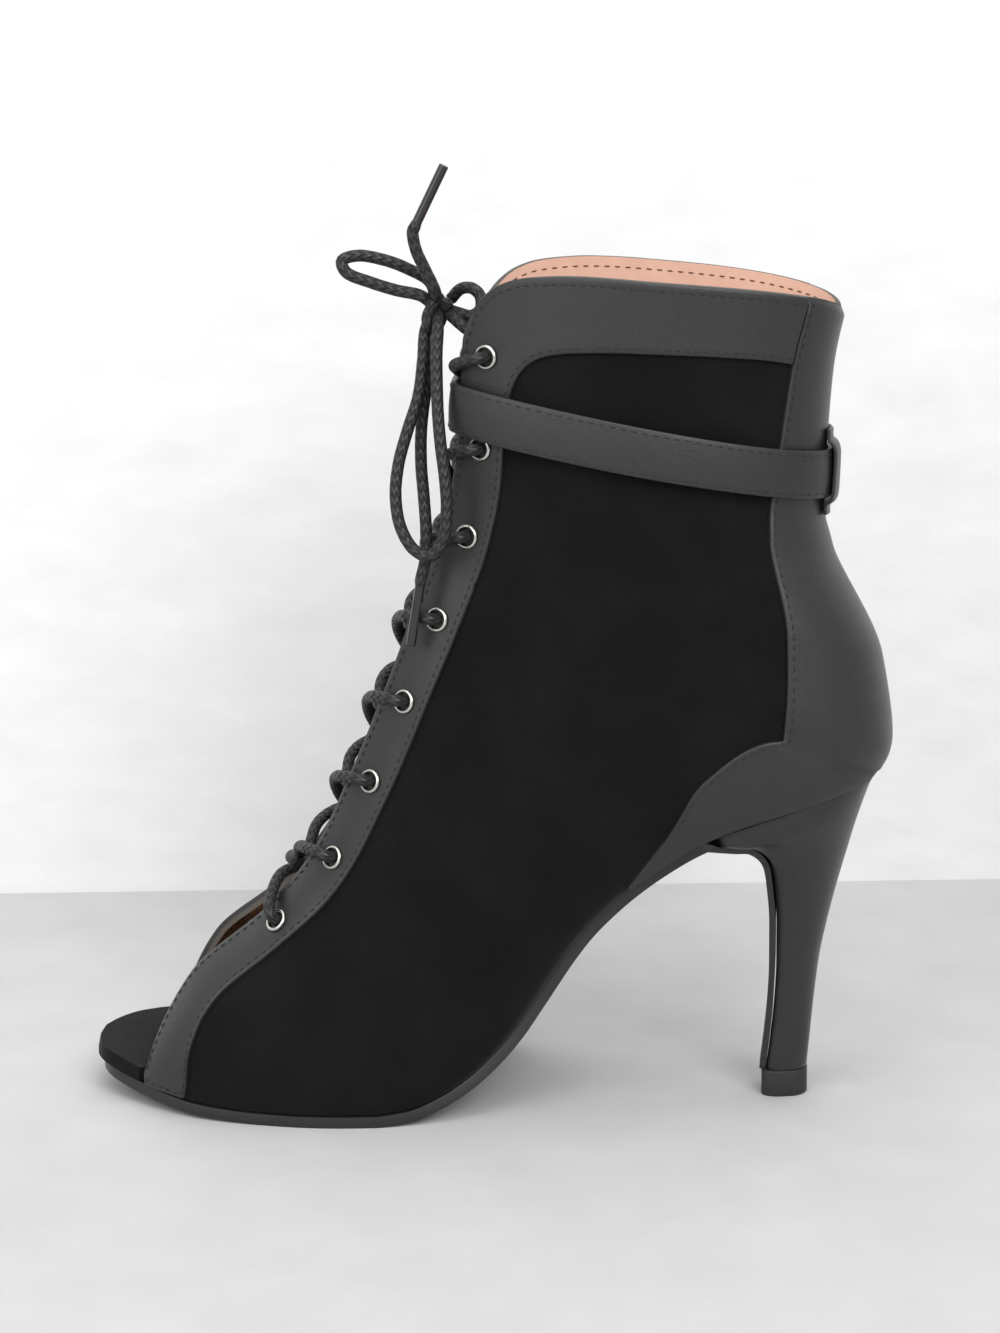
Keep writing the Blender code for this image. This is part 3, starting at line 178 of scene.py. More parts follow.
# The heel and the flap, the sole's last part, which lies on the heel's breast, from the seat down. One ring of the
# heel for each row.
#   flap_x, flap_z  the flap's outer face: shares of LENGTH and of SEAT_HEIGHT
#   flap_half       the flap's half width, a share of BALL_WIDTH
#   back_x, back_z  the back of the heel: shares of LENGTH and of SEAT_HEIGHT
#   half            the heel's half width, a share of BALL_WIDTH
#   flat            the share of it that the breast keeps
HEEL = {
    "flap_x": (-0.4752, -0.4957, -0.5081, -0.5218, -0.5291, -0.5329, -0.5359, -0.5359, -0.5338, -0.5291, -0.5244),
    "flap_z": (0.781, 0.775, 0.772, 0.752, 0.719, 0.652, 0.5455, 0.4234, 0.296, 0.175, 0.081),
    "flap_half": (0.215, 0.200, 0.185, 0.170, 0.152, 0.126, 0.099, 0.080, 0.068, 0.060, 0.056),
    "back_x": (-0.6581, -0.6513, -0.6457, -0.6385, -0.6321, -0.6222, -0.6090, -0.5983, -0.5919, -0.5872, -0.5835),
    "back_z": (0.956, 0.911, 0.871, 0.816, 0.761, 0.676, 0.5505, 0.4234, 0.2963, 0.175, 0.081),
    "half": (0.284, 0.268, 0.250, 0.218, 0.190, 0.160, 0.131, 0.109, 0.092, 0.082, 0.077),
    "flat": (0.87, 0.86, 0.84, 0.81, 0.78, 0.75, 0.73, 0.72, 0.72, 0.72, 0.72),
}

# The seat, the heel's top face: where it begins and ends, as shares of LENGTH.
SEAT_ENDS = (-0.4680, -0.6665)

# The keeper, seen from the side: how far each point is from the strap's middle line, and how far over the skin.
KEEPER = {
    "along": (-0.0125, -0.0098, -0.0083, -0.0055, 0.0, 0.0055, 0.0083, 0.0098, 0.0125),
    "over": (0.0027, 0.0029, 0.0046, 0.0053, 0.0054, 0.0053, 0.0046, 0.0029, 0.0027),
}

# A crossing of the lace between two pairs of eyelets. Each strand comes out of the upper eyelet, over the facing's edge,
# across the throat and in under the other facing, towards the lower eyelet there.
#   along  the way down from the upper eyelet to the lower one
#   across how far it is to the side that it starts from, as a share of half the throat's opening
#   over   how far the strand from the inner side stands over the line of the throat's edges
#   under  the same for the strand that passes under it, and strapped and strapped_under for the two under the strap
CROSSING = {
    "along": (0.22, 0.33, 0.50, 0.68, 0.80, 0.86),
    "across": (0.74, 0.42, 0.0, -0.44, -0.76, -0.92),
    "over": (0.0040, 0.0046, 0.0034, 0.0004, -0.0032, -0.0041),
    "under": (0.0036, 0.0026, 0.0003, -0.0016, -0.0032, -0.0041),
    "strapped": (0.0025, -0.0004, -0.0012, -0.0020, -0.0034, -0.0041),
    "strapped_under": (0.0024, -0.0012, -0.0026, -0.0031, -0.0036, -0.0041),
}

# The bow in front of the collar: the routes of its cords, in metres.
LOOP_AHEAD = (
    (-0.0290, 0.0020, 0.2395), (-0.0225, 0.0030, 0.2436), (-0.0160, 0.0045, 0.2462), (-0.0090, 0.0065, 0.2475),
    (-0.0050, 0.0080, 0.2462), (-0.0062, 0.0088, 0.2432), (-0.0130, 0.0080, 0.2402), (-0.0200, 0.0065, 0.2378),
    (-0.0268, 0.0060, 0.2362),
)
LOOP_DOWN = (
    (-0.0278, 0.0035, 0.2268), (-0.0272, 0.0072, 0.2180), (-0.0262, 0.0112, 0.2085), (-0.0235, 0.0150, 0.1995),
    (-0.0212, 0.0185, 0.1905), (-0.0206, 0.0215, 0.1818), (-0.0222, 0.0240, 0.1735), (-0.0262, 0.0260, 0.1675),
    (-0.0308, 0.0272, 0.1660), (-0.0344, 0.0272, 0.1705), (-0.0355, 0.0262, 0.1790), (-0.0350, 0.0248, 0.1875),
    (-0.0338, 0.0228, 0.1960), (-0.0328, 0.0200, 0.2045), (-0.0322, 0.0165, 0.2130), (-0.0318, 0.0125, 0.2210),
    (-0.0318, 0.0088, 0.2268),
)
END_UP = (
    (-0.0310, 0.0080, 0.2380), (-0.0285, 0.0092, 0.2440), (-0.0262, 0.0100, 0.2495), (-0.0254, 0.0100, 0.2545),
)
END_UP_AGLET = ((-0.0259, 0.0100, 0.2556), (-0.0345, 0.0098, 0.2727))
END_DOWN = (
    (-0.0305, -0.0020, 0.2268), (-0.0292, 0.0020, 0.2180), (-0.0276, 0.0068, 0.2080), (-0.0268, 0.0105, 0.1990),
    (-0.0270, 0.0140, 0.1900), (-0.0280, 0.0172, 0.1810), (-0.0288, 0.0200, 0.1725), (-0.0288, 0.0220, 0.1645),
    (-0.0276, 0.0231, 0.1590),
)
END_DOWN_AGLET = ((-0.0275, 0.0232, 0.1585), (-0.0243, 0.0240, 0.1396))
KNOT_TIE = (
    (-0.0425, 0.0095, 0.2255), (-0.0392, 0.0078, 0.2275), (-0.0355, 0.0045, 0.2300), (-0.0325, 0.0010, 0.2318),
)
KNOT_PLACE = (-0.0312, 0.0030, 0.2322)

# A short loop of lace behind the knot
KNOT_STUB = (
    (-0.0345, -0.0010, 0.2345), (-0.0375, 0.0010, 0.2375), (-0.0412, 0.0040, 0.2380), (-0.0436, 0.0060, 0.2360),
    (-0.0436, 0.0060, 0.2325), (-0.0410, 0.0052, 0.2305), (-0.0370, 0.0030, 0.2310), (-0.0335, 0.0010, 0.2318),
)

# How finely the surface is worked out: the step between its rows and the count of its ways round, and how many
# metres a row and the whole way round are about
ROW_STEP = 0.025
WAY_COUNT = 241
ROW_RUN = 0.024
WAY_RUN = 0.125
HEEL_RINGS = 61

# The creases: each runs between two places on the surface, with its height, negative for a trough,
# and its half width in metres.
CREASES = {
    "row_0": (5.4, 6.3, 7.0, 9.9, 9.4, 10.9, 3.2, 4.4, 2.1, 7.8),
    "way_0": (0.20, 0.16, 0.18, 0.30, 0.18, 0.22, 0.25, 0.30, 0.35, 0.35),
    "row_1": (5.8, 6.9, 8.2, 9.2, 10.4, 11.4, 3.9, 5.2, 2.6, 8.9),
    "way_1": (0.62, 0.58, 0.60, 0.62, 0.52, 0.62, 0.75, 0.80, 0.80, 0.70),
    "height": (-0.0005, 0.0005, -0.0006, 0.0004, -0.0005, -0.0004, -0.0003, 0.0003, 0.0003, 0.0004),
    "width": (0.007, 0.008, 0.007, 0.008, 0.006, 0.006, 0.010, 0.010, 0.012, 0.009),
}

# The camera: turned from straight across the shoe, tilted down and rolled, in degrees; its focal length is in pixels
# of a picture 1333 high.
CAMERA_TURN = (6.0, 13.5, 0.8)
CAMERA_FOCUS = 3118
CAMERA_PLACE = (-0.13889, 0.87377, 0.33895)
WALL_PLACE = (-0.0436, -0.1952)
WALL_TURN = 6.115

# Name, place, width and height, and power of each light
LIGHTS = (
    ("window", (-0.9, 1.5, 1.3), (1.2, 1.2), 26),
    ("fill", (0.9, 1.3, 0.9), (1.4, 1.4), 14),
    ("top", (0.0, 0.1, 1.6), (1.2, 1.2), 12),
)

SIDE_NAMES = {1: "inner", -1: "outer"}


def curve_through(knots, values):
    """A smooth curve through the given points that never swings past them, as a function of one number."""
    order = np.argsort(knots)
    at = np.asarray(knots, float)[order]
    value = np.asarray(values, float)[order]
    step = np.diff(at)
    slope = np.diff(value) / step
    tangent = np.zeros(len(at))
    tangent[0] = slope[0]
    tangent[-1] = slope[-1]
    for i in range(1, len(at) - 1):
        if slope[i - 1] * slope[i] > 0:
            before = 2 * step[i] + step[i - 1]
            after = step[i] + 2 * step[i - 1]
            tangent[i] = (before + after) / (before / slope[i - 1] + after / slope[i])

    def value_at(x):
        x = np.clip(x, at[0], at[-1])
        i = np.clip(np.searchsorted(at, x, side="right") - 1, 0, len(step) - 1)
        t = (x - at[i]) / step[i]
        return (
            value[i] * (1 + 2 * t) * (1 - t) ** 2
            + value[i + 1] * t * t * (3 - 2 * t)
            + step[i] * (tangent[i] * t * (1 - t) ** 2 - tangent[i + 1] * t * t * (1 - t))
        )

    return value_at

def sole_top_heights():
    """The sole's top, from the table, as heights over the floor."""
    seat = SEAT_HEIGHT - SOLE_THICKNESS
    return [
        SOLE_THICKNESS + spring * TOE_SPRING + lift * seat
        for spring, lift in zip(SOLE_TOP["spring"], SOLE_TOP["lift"])
    ]


sole_top = curve_through([x * LENGTH for x in SOLE_TOP["x"]], sole_top_heights())
outline = {
    1: curve_through([x * LENGTH for x in OUTLINE["x"]], [y * BALL_WIDTH for y in OUTLINE["inner"]]),
    -1: curve_through([x * LENGTH for x in OUTLINE["x"]], [y * BALL_WIDTH for y in OUTLINE["outer"]]),
}


def section_curves():
    """Each column of SECTIONS as a smooth curve over the row number, in metres."""
    rows = range(len(SECTIONS["rise"]))
    base = [
        sole_top(x * LENGTH) if row <= SEAT_ROW else SEAT_HEIGHT
        for row, x in zip(rows, SECTIONS["base_x"])
    ]
    columns = {
        "throat_x": [x * LENGTH for x in SECTIONS["throat_x"]],
        "throat_z": [z + rise * UPPER_HEIGHT for z, rise in zip(base, SECTIONS["rise"])],
        "base_x": [x * LENGTH for x in SECTIONS["base_x"]],
        "back_z": [SEAT_HEIGHT + CLEARANCE + rise * UPPER_HEIGHT for rise in SECTIONS["back_rise"]],
        "gap": [gap * BALL_WIDTH for gap in SECTIONS["gap"]],
        "inner": [half * BALL_WIDTH for half in SECTIONS["inner"]],
        "outer": [half * BALL_WIDTH for half in SECTIONS["outer"]],
        "widest": SECTIONS["widest"],
        "fullness": SECTIONS["fullness"],
    }
    return {name: curve_through(rows, values) for name, values in columns.items()}


CURVES = section_curves()
LAST_ROW = len(SECTIONS["rise"]) - 1


def sections(rows, side):
    """Half sections as fine lines of points, from the throat's edge to the base: an array of rows by points."""
    half = CURVES["inner" if side > 0 else "outer"](rows)
    gap = np.minimum(CURVES["gap"](rows), 0.97 * half)
    widest = CURVES["widest"](rows)[:, None]
    base_x = CURVES["base_x"](rows)
    on_sole = rows < SEAT_ROW
    base_z = np.where(on_sole, sole_top(base_x) + CLEARANCE, CURVES["back_z"](rows))[:, None]
    base_y = np.where(on_sole, np.maximum(outline[side](base_x) - SOLE_LEDGE, 0.0), 0.0)[:, None]
    start = np.arcsin(gap / half)[:, None]
    share = np.linspace(0, 1, 81)[None]
    turn = start + (math.pi / 2 - start) * share
    along = widest * (1 - np.cos(turn) / np.cos(start))
    across = half[:, None] * np.sin(turn)
    turn = math.pi / 2 * share[:, 1:]
    power = 2 / CURVES["fullness"](rows)[:, None]
    along = np.concatenate([along, widest + (1 - widest) * np.sin(turn) ** power], axis=1)
    lower = base_y + (half[:, None] - base_y) * np.maximum(np.cos(turn), 0) ** power
    across = np.concatenate([across, lower], axis=1)
    throat_x = CURVES["throat_x"](rows)[:, None]
    throat_z = CURVES["throat_z"](rows)[:, None]
    x = throat_x + (base_x[:, None] - throat_x) * along
    z = throat_z + (base_z - throat_z) * along
    return np.stack([x, side * across, z], axis=2)


def relief(rows, ways, side):
    """The height of the soft creases over the plain form."""
    height = np.zeros(np.broadcast(rows, ways).shape)
    for row_0, way_0, row_1, way_1, depth, width in zip(*CREASES.values()):
        a = np.array([row_0 * ROW_RUN, way_0 * WAY_RUN])
        b = np.array([row_1 * ROW_RUN, way_1 * WAY_RUN])
        x = rows * ROW_RUN - a[0]
        y = ways * WAY_RUN - a[1]
        t = np.clip((x * (b - a)[0] + y * (b - a)[1]) / ((b - a) @ (b - a)), 0, 1)
        apart = np.hypot(x - t * (b - a)[0], y - t * (b - a)[1])
        height += depth * np.exp(-((apart / width) ** 2)) * (1 - 0.6 * np.abs(2 * t - 1) ** 2)
    return height


def lattice(side):
    """The surface of one side as points and outward directions at even steps of the row and of the way round."""
    rows = np.arange(0, LAST_ROW + ROW_STEP / 2, ROW_STEP)
    lines = sections(np.minimum(rows, LAST_ROW - 1e-9), side)
    ways = np.linspace(0, 1, WAY_COUNT)
    points = np.empty((len(rows), WAY_COUNT, 3))
    for i, line in enumerate(lines):
        run = np.concatenate([[0], np.cumsum(np.linalg.norm(np.diff(line, axis=0), axis=1))])
        for axis in range(3):
            points[i, :, axis] = np.interp(ways * run[-1], run, line[:, axis])
    for again in range(2):
        up = np.gradient(points, axis=0)
        round_it = np.gradient(points, axis=1)
        seat = int(SEAT_ROW / ROW_STEP)
        up[seat:, -1, 1] = 0
        round_it[seat:, -1] = (0, -side, 0)
        normals = np.cross(round_it, up) * side
        normals /= np.linalg.norm(normals, axis=2)[..., None]
        if again == 0:
            points = points + normals * relief(rows[:, None], ways[None], side)[..., None]
    return points, normals


def sample(grid, rows, ways):
    """A lattice read between its points."""
    rows, ways = np.broadcast_arrays(np.asarray(rows, float), np.asarray(ways, float))
    r = np.clip(rows / ROW_STEP, 0, grid.shape[0] - 1.0001)
    w = np.clip(ways * (WAY_COUNT - 1), 0, WAY_COUNT - 1.0001)
    i = r.astype(int)
    j = w.astype(int)
    s = (r - i)[..., None]
    t = (w - j)[..., None]
    return (
        grid[i, j] * (1 - s) * (1 - t) + grid[i + 1, j] * s * (1 - t)
        + grid[i, j + 1] * (1 - s) * t + grid[i + 1, j + 1] * s * t
    )


LATTICE = {side: lattice(side) for side in (1, -1)}


def skin(row, way, side):
    """Points of the upper's outer face: the section's row, the way round it from the throat, 0, to its base, 1."""
    return sample(LATTICE[side][0], row, way)


def skin_normal(row, way, side):
    """The directions out of the upper there."""
    normal = sample(LATTICE[side][1], row, way)
    return normal / np.linalg.norm(normal, axis=-1)[..., None]


def over_skin(row, way, side, height):
    """Points at a height over the upper's outer face."""
    return skin(row, way, side) + np.asarray(height)[..., None] * skin_normal(row, way, side)


def row_at_height(way, height, side):
    """The row whose section has the given height at the given way round."""
    rows = np.linspace(SEAT_ROW, LAST_ROW, 121)
    return float(np.interp(height, skin(rows, way, side)[:, 2], rows))


def collar_edge(side):
    """The row at which the upper ends, as a curve over the way round."""
    height = curve_through(COLLAR_EDGE["round"], COLLAR_EDGE["height"])
    ways = np.linspace(0, 1, 81)
    return curve_through(ways, [row_at_height(way, SEAT_HEIGHT + UPPER_HEIGHT * height(way), side) for way in ways])


collar_row = {side: collar_edge(side) for side in (1, -1)}
counter_way = curve_through(COUNTER_EDGE["row"], COUNTER_EDGE["round"])


def trimmed(row, way, side):
    """A row, drawn in above the seat so that the last one is the collar's edge."""
    share = np.maximum(np.asarray(row) - SEAT_ROW, 0) / (LAST_ROW - SEAT_ROW)
    return np.minimum(row, SEAT_ROW) + share * (collar_row[side](way) - SEAT_ROW)


def throat_edge(side):
    """The throat's edge on one side, as rows and points."""
    rows = np.linspace(0, LAST_ROW, 281)
    return rows, skin(rows, 0.0, side)


edge_of = {side: throat_edge(side) for side in (1, -1)}


def way_from_edge(row, side, distance):
    """How far round a section lies a distance from the throat's edge, at most at the section's foot."""
    ways = np.linspace(0, 1, 61)
    line = skin(row, ways, side)
    apart = np.linalg.norm(edge_of[side][1][None] - line[:, None], axis=2).min(axis=1)
    return float(np.interp(distance, np.maximum.accumulate(apart), ways))


def foot_way(row, side):
    """How far round a section an overlay may reach before it meets the sole."""
    if row >= SEAT_ROW:
        return 1.0
    ways = np.linspace(0.4, 1, 61)
    points = over_skin(row, ways, side, OVERLAY_TOP)
    under = sole_top(points[:, 0]) + 2 * CLEARANCE - points[:, 2]
    return float(np.interp(0, np.maximum.accumulate(under), ways))


def eyelet_places(side):
    """Where the eyelets of one side sit, from the lowest up, as rows and ways round."""
    rows = np.linspace(1.5, collar_row[side](0), 120)
    ways = np.array([way_from_edge(row, side, EYELET_INSET) for row in rows])
    points = skin(rows, ways, side)
    run = np.concatenate([[0], np.cumsum(np.linalg.norm(np.diff(points, axis=0), axis=1))])
    top = np.interp(SEAT_HEIGHT + EYELET_TOP * UPPER_HEIGHT, points[:, 2], run)
    places = top - EYELET_PITCH * np.arange(EYELETS - 1, -1, -1)
    return [(float(np.interp(place, run, rows)), float(np.interp(place, run, ways))) for place in places]


eyelets_at = {side: eyelet_places(side) for side in (1, -1)}


class Wire:
    """A value in a material's node tree, which adds and multiplies as numbers do."""

    def __init__(self, tree, socket):
        self.tree = tree
        self.socket = socket

    def math(self, operation, *others, clamp=False):
        node = self.tree.nodes.new("ShaderNodeMath")
        node.operation = operation
        node.use_clamp = clamp
        for slot_in, value in zip(node.inputs, (self, *others)):
            feed(self.tree, slot_in, value)
        return Wire(self.tree, node.outputs[0])

    def __add__(self, other):
        return self.math("ADD", other)

    __radd__ = __add__

    def __mul__(self, other):
        return self.math("MULTIPLY", other)

    __rmul__ = __mul__

    def __sub__(self, other):
        return self.math("SUBTRACT", other)

    def __rsub__(self, other):
        return (self * -1) + other

    def ramp(self, low, high, out_low=0.0, out_high=1.0):
        """This value moved smoothly from one range to another, held at the ends."""
        node = self.tree.nodes.new("ShaderNodeMapRange")
        node.interpolation_type = "SMOOTHSTEP"
        for slot_in, value in zip(node.inputs, (self, low, high, out_low, out_high)):
            feed(self.tree, slot_in, value)
        return Wire(self.tree, node.outputs[0])


def feed(tree, slot_in, value):
    """Links a wire to a socket, or sets the socket to a number or colour."""
    if isinstance(value, Wire):
        tree.links.new(value.socket, slot_in)
    else:
        slot_in.default_value = value


class Paint:
    """A material: its tree, its shader and the nodes that feed them."""

    def __init__(self, name, **constants):
        self.made = bpy.data.materials.new(name)
        self.made.use_nodes = True
        self.tree = self.made.node_tree
        self.shader = self.tree.nodes["Principled BSDF"]
        for key, value in constants.items():
            self.set(key.replace("_", " ").title().replace("Ior", "IOR"), value)

    def node(self, kind, output=0, settings=None, **inputs):
        """A node with its settings and inputs given by name, as a wire from one of its outputs."""
        node = self.tree.nodes.new("ShaderNode" + kind)
        for key, value in (settings or {}).items():
            setattr(node, key, value)
        for key, value in inputs.items():
            feed(self.tree, node.inputs[key.replace("_", " ")], value)
        return Wire(self.tree, node.outputs[output])

    def set(self, socket, value):
        feed(self.tree, self.shader.inputs[socket], value)

    def place(self):
        """The point in the object's own space."""
        return self.node("TexCoord", "Object")

    def axis(self, vector, which):
        return self.node("SeparateXYZ", which, Vector=vector)

    def noise(self, scale, detail=4.0, vector=None, roughness=0.55):
        spot = vector or self.place()
        return self.node("TexNoise", 0, Vector=spot, Scale=scale, Detail=detail, Roughness=roughness)

    def cells(self, scale, vector=None, feature="F1"):
        return self.node("TexVoronoi", 0, {"feature": feature}, Vector=vector or self.place(), Scale=scale)

    def mix(self, share, one, two):
        """A colour between two."""
        node = self.tree.nodes.new("ShaderNodeMix")
        node.data_type = "RGBA"
        feed(self.tree, node.inputs[0], share)
        feed(self.tree, node.inputs[6], one)
        feed(self.tree, node.inputs[7], two)
        return Wire(self.tree, node.outputs[2])

    def bump(self, height, distance, strength=1.0):
        self.set("Normal", self.node("Bump", 0, Height=height, Distance=distance, Strength=strength))


def grey(value, warm=0.0):
    return (value * (1 + warm), value, value * (1 - warm), 1)


def paint_suede():
    paint = Paint("black_suede", roughness=1.0, sheen_weight=0.12, sheen_roughness=0.4, specular_ior_level=0.12)
    nap = paint.noise(2200, 6)
    patch = paint.noise(38, 3).ramp(0.35, 0.7)
    paint.set("Base Color", paint.mix(patch * 0.5 + nap * 0.5, grey(0.0035), grey(0.0085)))
    paint.bump(nap + paint.noise(300, 3) * 0.7, 0.00035, 0.6)
    return paint.made


def paint_leather(name, base=0.012, rough=0.40, bump=0.0001):
    paint = Paint(name, specular_ior_level=0.5, coat_roughness=0.35)
    grain = paint.cells(1500, feature="DISTANCE_TO_EDGE").ramp(0.0, 0.16)
    fine = paint.noise(900, 5)
    broad = paint.noise(60, 3)
    paint.set("Base Color", paint.mix(fine, grey(base * 0.8), grey(base * 1.25)))
    paint.set("Roughness", (broad * 0.12 + fine * 0.1) + (rough - 0.1))
    paint.set("Coat Weight", 0.12)
    paint.bump(grain * 0.5 + fine, bump, 0.55)
    return paint.made


def paint_cloth(name, one, two, scale=1400, rough=0.85):
    paint = Paint(name, roughness=rough, sheen_weight=0.1, specular_ior_level=0.3)
    spot = paint.place()
    weave = paint.noise(scale, 2, vector=spot)
    paint.set("Base Color", paint.mix(paint.noise(70, 4) * 0.6 + weave * 0.4, one, two))
    paint.bump(weave, 0.00015, 0.5)
    return paint.made


def paint_lining():
    """The lining: a pale nude at the ankle, tan towards the toe."""
    paint = Paint("leather_lining", roughness=0.62, specular_ior_level=0.35)
    toe = paint.axis(paint.place(), "X").ramp(-0.05, -0.02)
    mottle = paint.noise(120, 5)
    nude = paint.mix(mottle, (0.60, 0.36, 0.265, 1), (0.74, 0.47, 0.36, 1))
    tan = paint.mix(mottle, (0.25, 0.115, 0.055, 1), (0.36, 0.18, 0.09, 1))
    paint.set("Base Color", paint.mix(toe, nude, tan))
    paint.bump(paint.noise(1300, 4), 0.00008, 0.5)
    return paint.made


def paint_lace():
    """The lace: black braid with a little wax, its strands in two slanted directions along its own UV."""
    paint = Paint("waxed_braid", specular_ior_level=0.45)
    uv = paint.node("TexCoord", "UV")
    round_it = paint.axis(uv, "X")
    along = paint.axis(uv, "Y")
    one = (round_it * 6.0 + along).math("FRACT").math("PINGPONG", 0.5)
    two = (round_it * -6.0 + along).math("FRACT").math("PINGPONG", 0.5)
    side = (round_it * 6.0).math("FRACT").math("GREATER_THAN", 0.5)
    strand = one * side + two * (1 - side)
    wear = paint.noise(500, 3)
    paint.set("Base Color", paint.mix(strand.ramp(0.1, 0.5) * 0.7 + wear * 0.3, grey(0.004), grey(0.022)))
    paint.set("Roughness", strand.ramp(0.0, 0.5, 0.75, 0.42))
    paint.bump(strand.ramp(0.0, 0.4) + wear * 0.15, 0.0003, 0.8)
    return paint.made


def paint_nickel():
    """The eyelets: dark nickel, worn bright where it stands highest."""
    paint = Paint("antique_nickel", metallic=1.0)
    height = paint.node("Attribute", "Fac", {"attribute_name": "rim"})
    worn = (height + paint.noise(700, 4) * 0.35).ramp(0.55, 1.0)
    paint.set("Base Color", paint.mix(worn, (0.10, 0.09, 0.085, 1), (0.62, 0.59, 0.55, 1)))
    paint.set("Roughness", worn.ramp(0, 1, 0.42, 0.26))
    return paint.made


def paint_plain(name, colour, rough, bump=0.0, **more):
    paint = Paint(name, roughness=rough, **more)
    shade = paint.noise(260, 4)
    paint.set("Base Color", paint.mix(shade, tuple(c * 0.82 for c in colour) + (1,), tuple(colour) + (1,)))
    if bump:
        paint.bump(paint.noise(1200, 4), bump, 0.5)
    return paint.made


SUEDE = paint_suede()
LEATHER = paint_leather("smooth_leather")
HEEL_LEATHER = paint_leather("heel_leather", 0.011, 0.34, 0.00005)
SOLE = paint_leather("sole_leather", 0.010, 0.42, 0.00004)
LINING = paint_lining()
CUT_EDGE = paint_plain("cut_edge", (0.10, 0.085, 0.07), 0.8, 0.0001)
GREY_CLOTH = paint_cloth("grey_lining", grey(0.13), grey(0.24, -0.02))
BINDING = paint_cloth("tongue_binding", grey(0.01), grey(0.03))
RUBBER = paint_plain("hard_rubber", (0.016, 0.016, 0.016), 0.55, 0.00006)
THREAD = paint_plain("black_thread", (0.012, 0.012, 0.012), 0.6)
BROWN_THREAD = paint_plain("brown_thread", (0.12, 0.045, 0.02), 0.65)
LACE_BRAID = paint_lace()
NICKEL = paint_nickel()
SLEEVE = paint_plain("aglet_sleeve", (0.012, 0.012, 0.012), 0.28, 0.0, coat_weight=0.3)


def finish_piece(piece, materials, nodes=()):
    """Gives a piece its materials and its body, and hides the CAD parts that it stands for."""
    piece.data.materials.clear()
    for one in materials if isinstance(materials, (list, tuple)) else (materials,):
        piece.data.materials.append(one)
    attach(piece, "root")
    if nodes:
        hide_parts(*nodes)
    return piece


def new_grid(name, points):
    """A sheet over a grid of points, made from a grid primitive; its UV runs from 0 to 1 across and along."""
    rows, columns = points.shape[:2]
    bpy.ops.object.select_all(action="DESELECT")
    bpy.ops.mesh.primitive_grid_add(x_subdivisions=columns - 1, y_subdivisions=rows - 1, size=2)
    piece = bpy.context.object
    piece.name = name
    piece.data.vertices.foreach_set("co", np.ascontiguousarray(points, dtype=np.float32).reshape(-1))
    piece.data.update()
    return piece


def weld(piece, distance=0.00003):
    """Joins doubled points."""
    bpy.ops.object.select_all(action="DESELECT")
    piece.select_set(True)
    bpy.context.view_layer.objects.active = piece
    bpy.ops.object.mode_set(mode="EDIT")
    bpy.ops.mesh.select_all(action="SELECT")
    bpy.ops.mesh.remove_doubles(threshold=distance)
    bpy.ops.object.mode_set(mode="OBJECT")


def modify(piece, kind, **settings):
    """Adds a modifier with its settings and applies it."""
    bpy.ops.object.select_all(action="DESELECT")
    piece.select_set(True)
    bpy.context.view_layer.objects.active = piece
    made = piece.modifiers.new(kind.lower(), kind)
    for key, value in settings.items():
        setattr(made, key, value)
    bpy.ops.object.modifier_apply(modifier=made.name)


def smooth(piece, angle=40):
    bpy.ops.object.select_all(action="DESELECT")
    piece.select_set(True)
    bpy.context.view_layer.objects.active = piece
    bpy.ops.object.shade_smooth_by_angle(angle=math.radians(angle))


def mesh_piece(name, points, faces):
    """A piece from points and faces, its faces turned outwards."""
    mesh = bpy.data.meshes.new(name)
    mesh.from_pydata([tuple(float(c) for c in p) for p in points], [], faces)
    shape = bmesh.new()
    shape.from_mesh(mesh)
    bmesh.ops.remove_doubles(shape, verts=shape.verts, dist=0.00001)
    bmesh.ops.recalc_face_normals(shape, faces=shape.faces)
    shape.to_mesh(mesh)
    shape.free()
    piece = bpy.data.objects.new(name, mesh)
    bpy.context.scene.collection.objects.link(piece)
    return piece


def make_upper():
    """The shell: suede outside, lined inside, with its cut edge between them."""
    rows = np.concatenate([np.linspace(0, SEAT_ROW, 97), np.linspace(SEAT_ROW, LAST_ROW, 73)[1:]])
    ways = np.concatenate([np.linspace(0, 0.06, 7), np.linspace(0.06, 0.94, 52)[1:], np.linspace(0.94, 1, 9)[1:]])
    grid_rows, grid_ways = np.meshgrid(rows, ways, indexing="ij")
    sides = [skin(trimmed(grid_rows, grid_ways, side), grid_ways, side) for side in (1, -1)]
    points = np.concatenate([sides[0], sides[1][:, ::-1]], axis=1)
    piece = new_grid("upper_shell", points)
    columns = points.shape[1]
    middle = len(ways) - 1
    shape = bmesh.new()
    shape.from_mesh(piece.data)
    shape.faces.ensure_lookup_table()
    gone = [shape.faces[r * (columns - 1) + middle] for r in range(len(rows) - 1)]
    bmesh.ops.delete(shape, geom=gone, context="FACES")
    shape.verts.ensure_lookup_table()
    seam = [shape.verts[r * columns + c] for r in range(96, len(rows)) for c in (middle, middle + 1)]
    bmesh.ops.remove_doubles(shape, verts=seam, dist=0.00005)
    shape.to_mesh(piece.data)
    shape.free()
    piece.data.materials.clear()
    for one in (SUEDE, LINING, CUT_EDGE):
        piece.data.materials.append(one)
    modify(piece, "SOLIDIFY", thickness=UPPER_WALL, offset=-1, use_even_offset=False,
           material_offset=1, material_offset_rim=2)
    smooth(piece, 50)
    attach(piece, "root")
    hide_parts("upper")


def fine_line(pairs, count):
    """Pairs of a row and a way, drawn finer."""
    at = np.arange(len(pairs))
    fine = np.linspace(0, len(pairs) - 1, count)
    return np.stack([curve_through(at, [pair[i] for pair in pairs])(fine) for i in (0, 1)], axis=1)


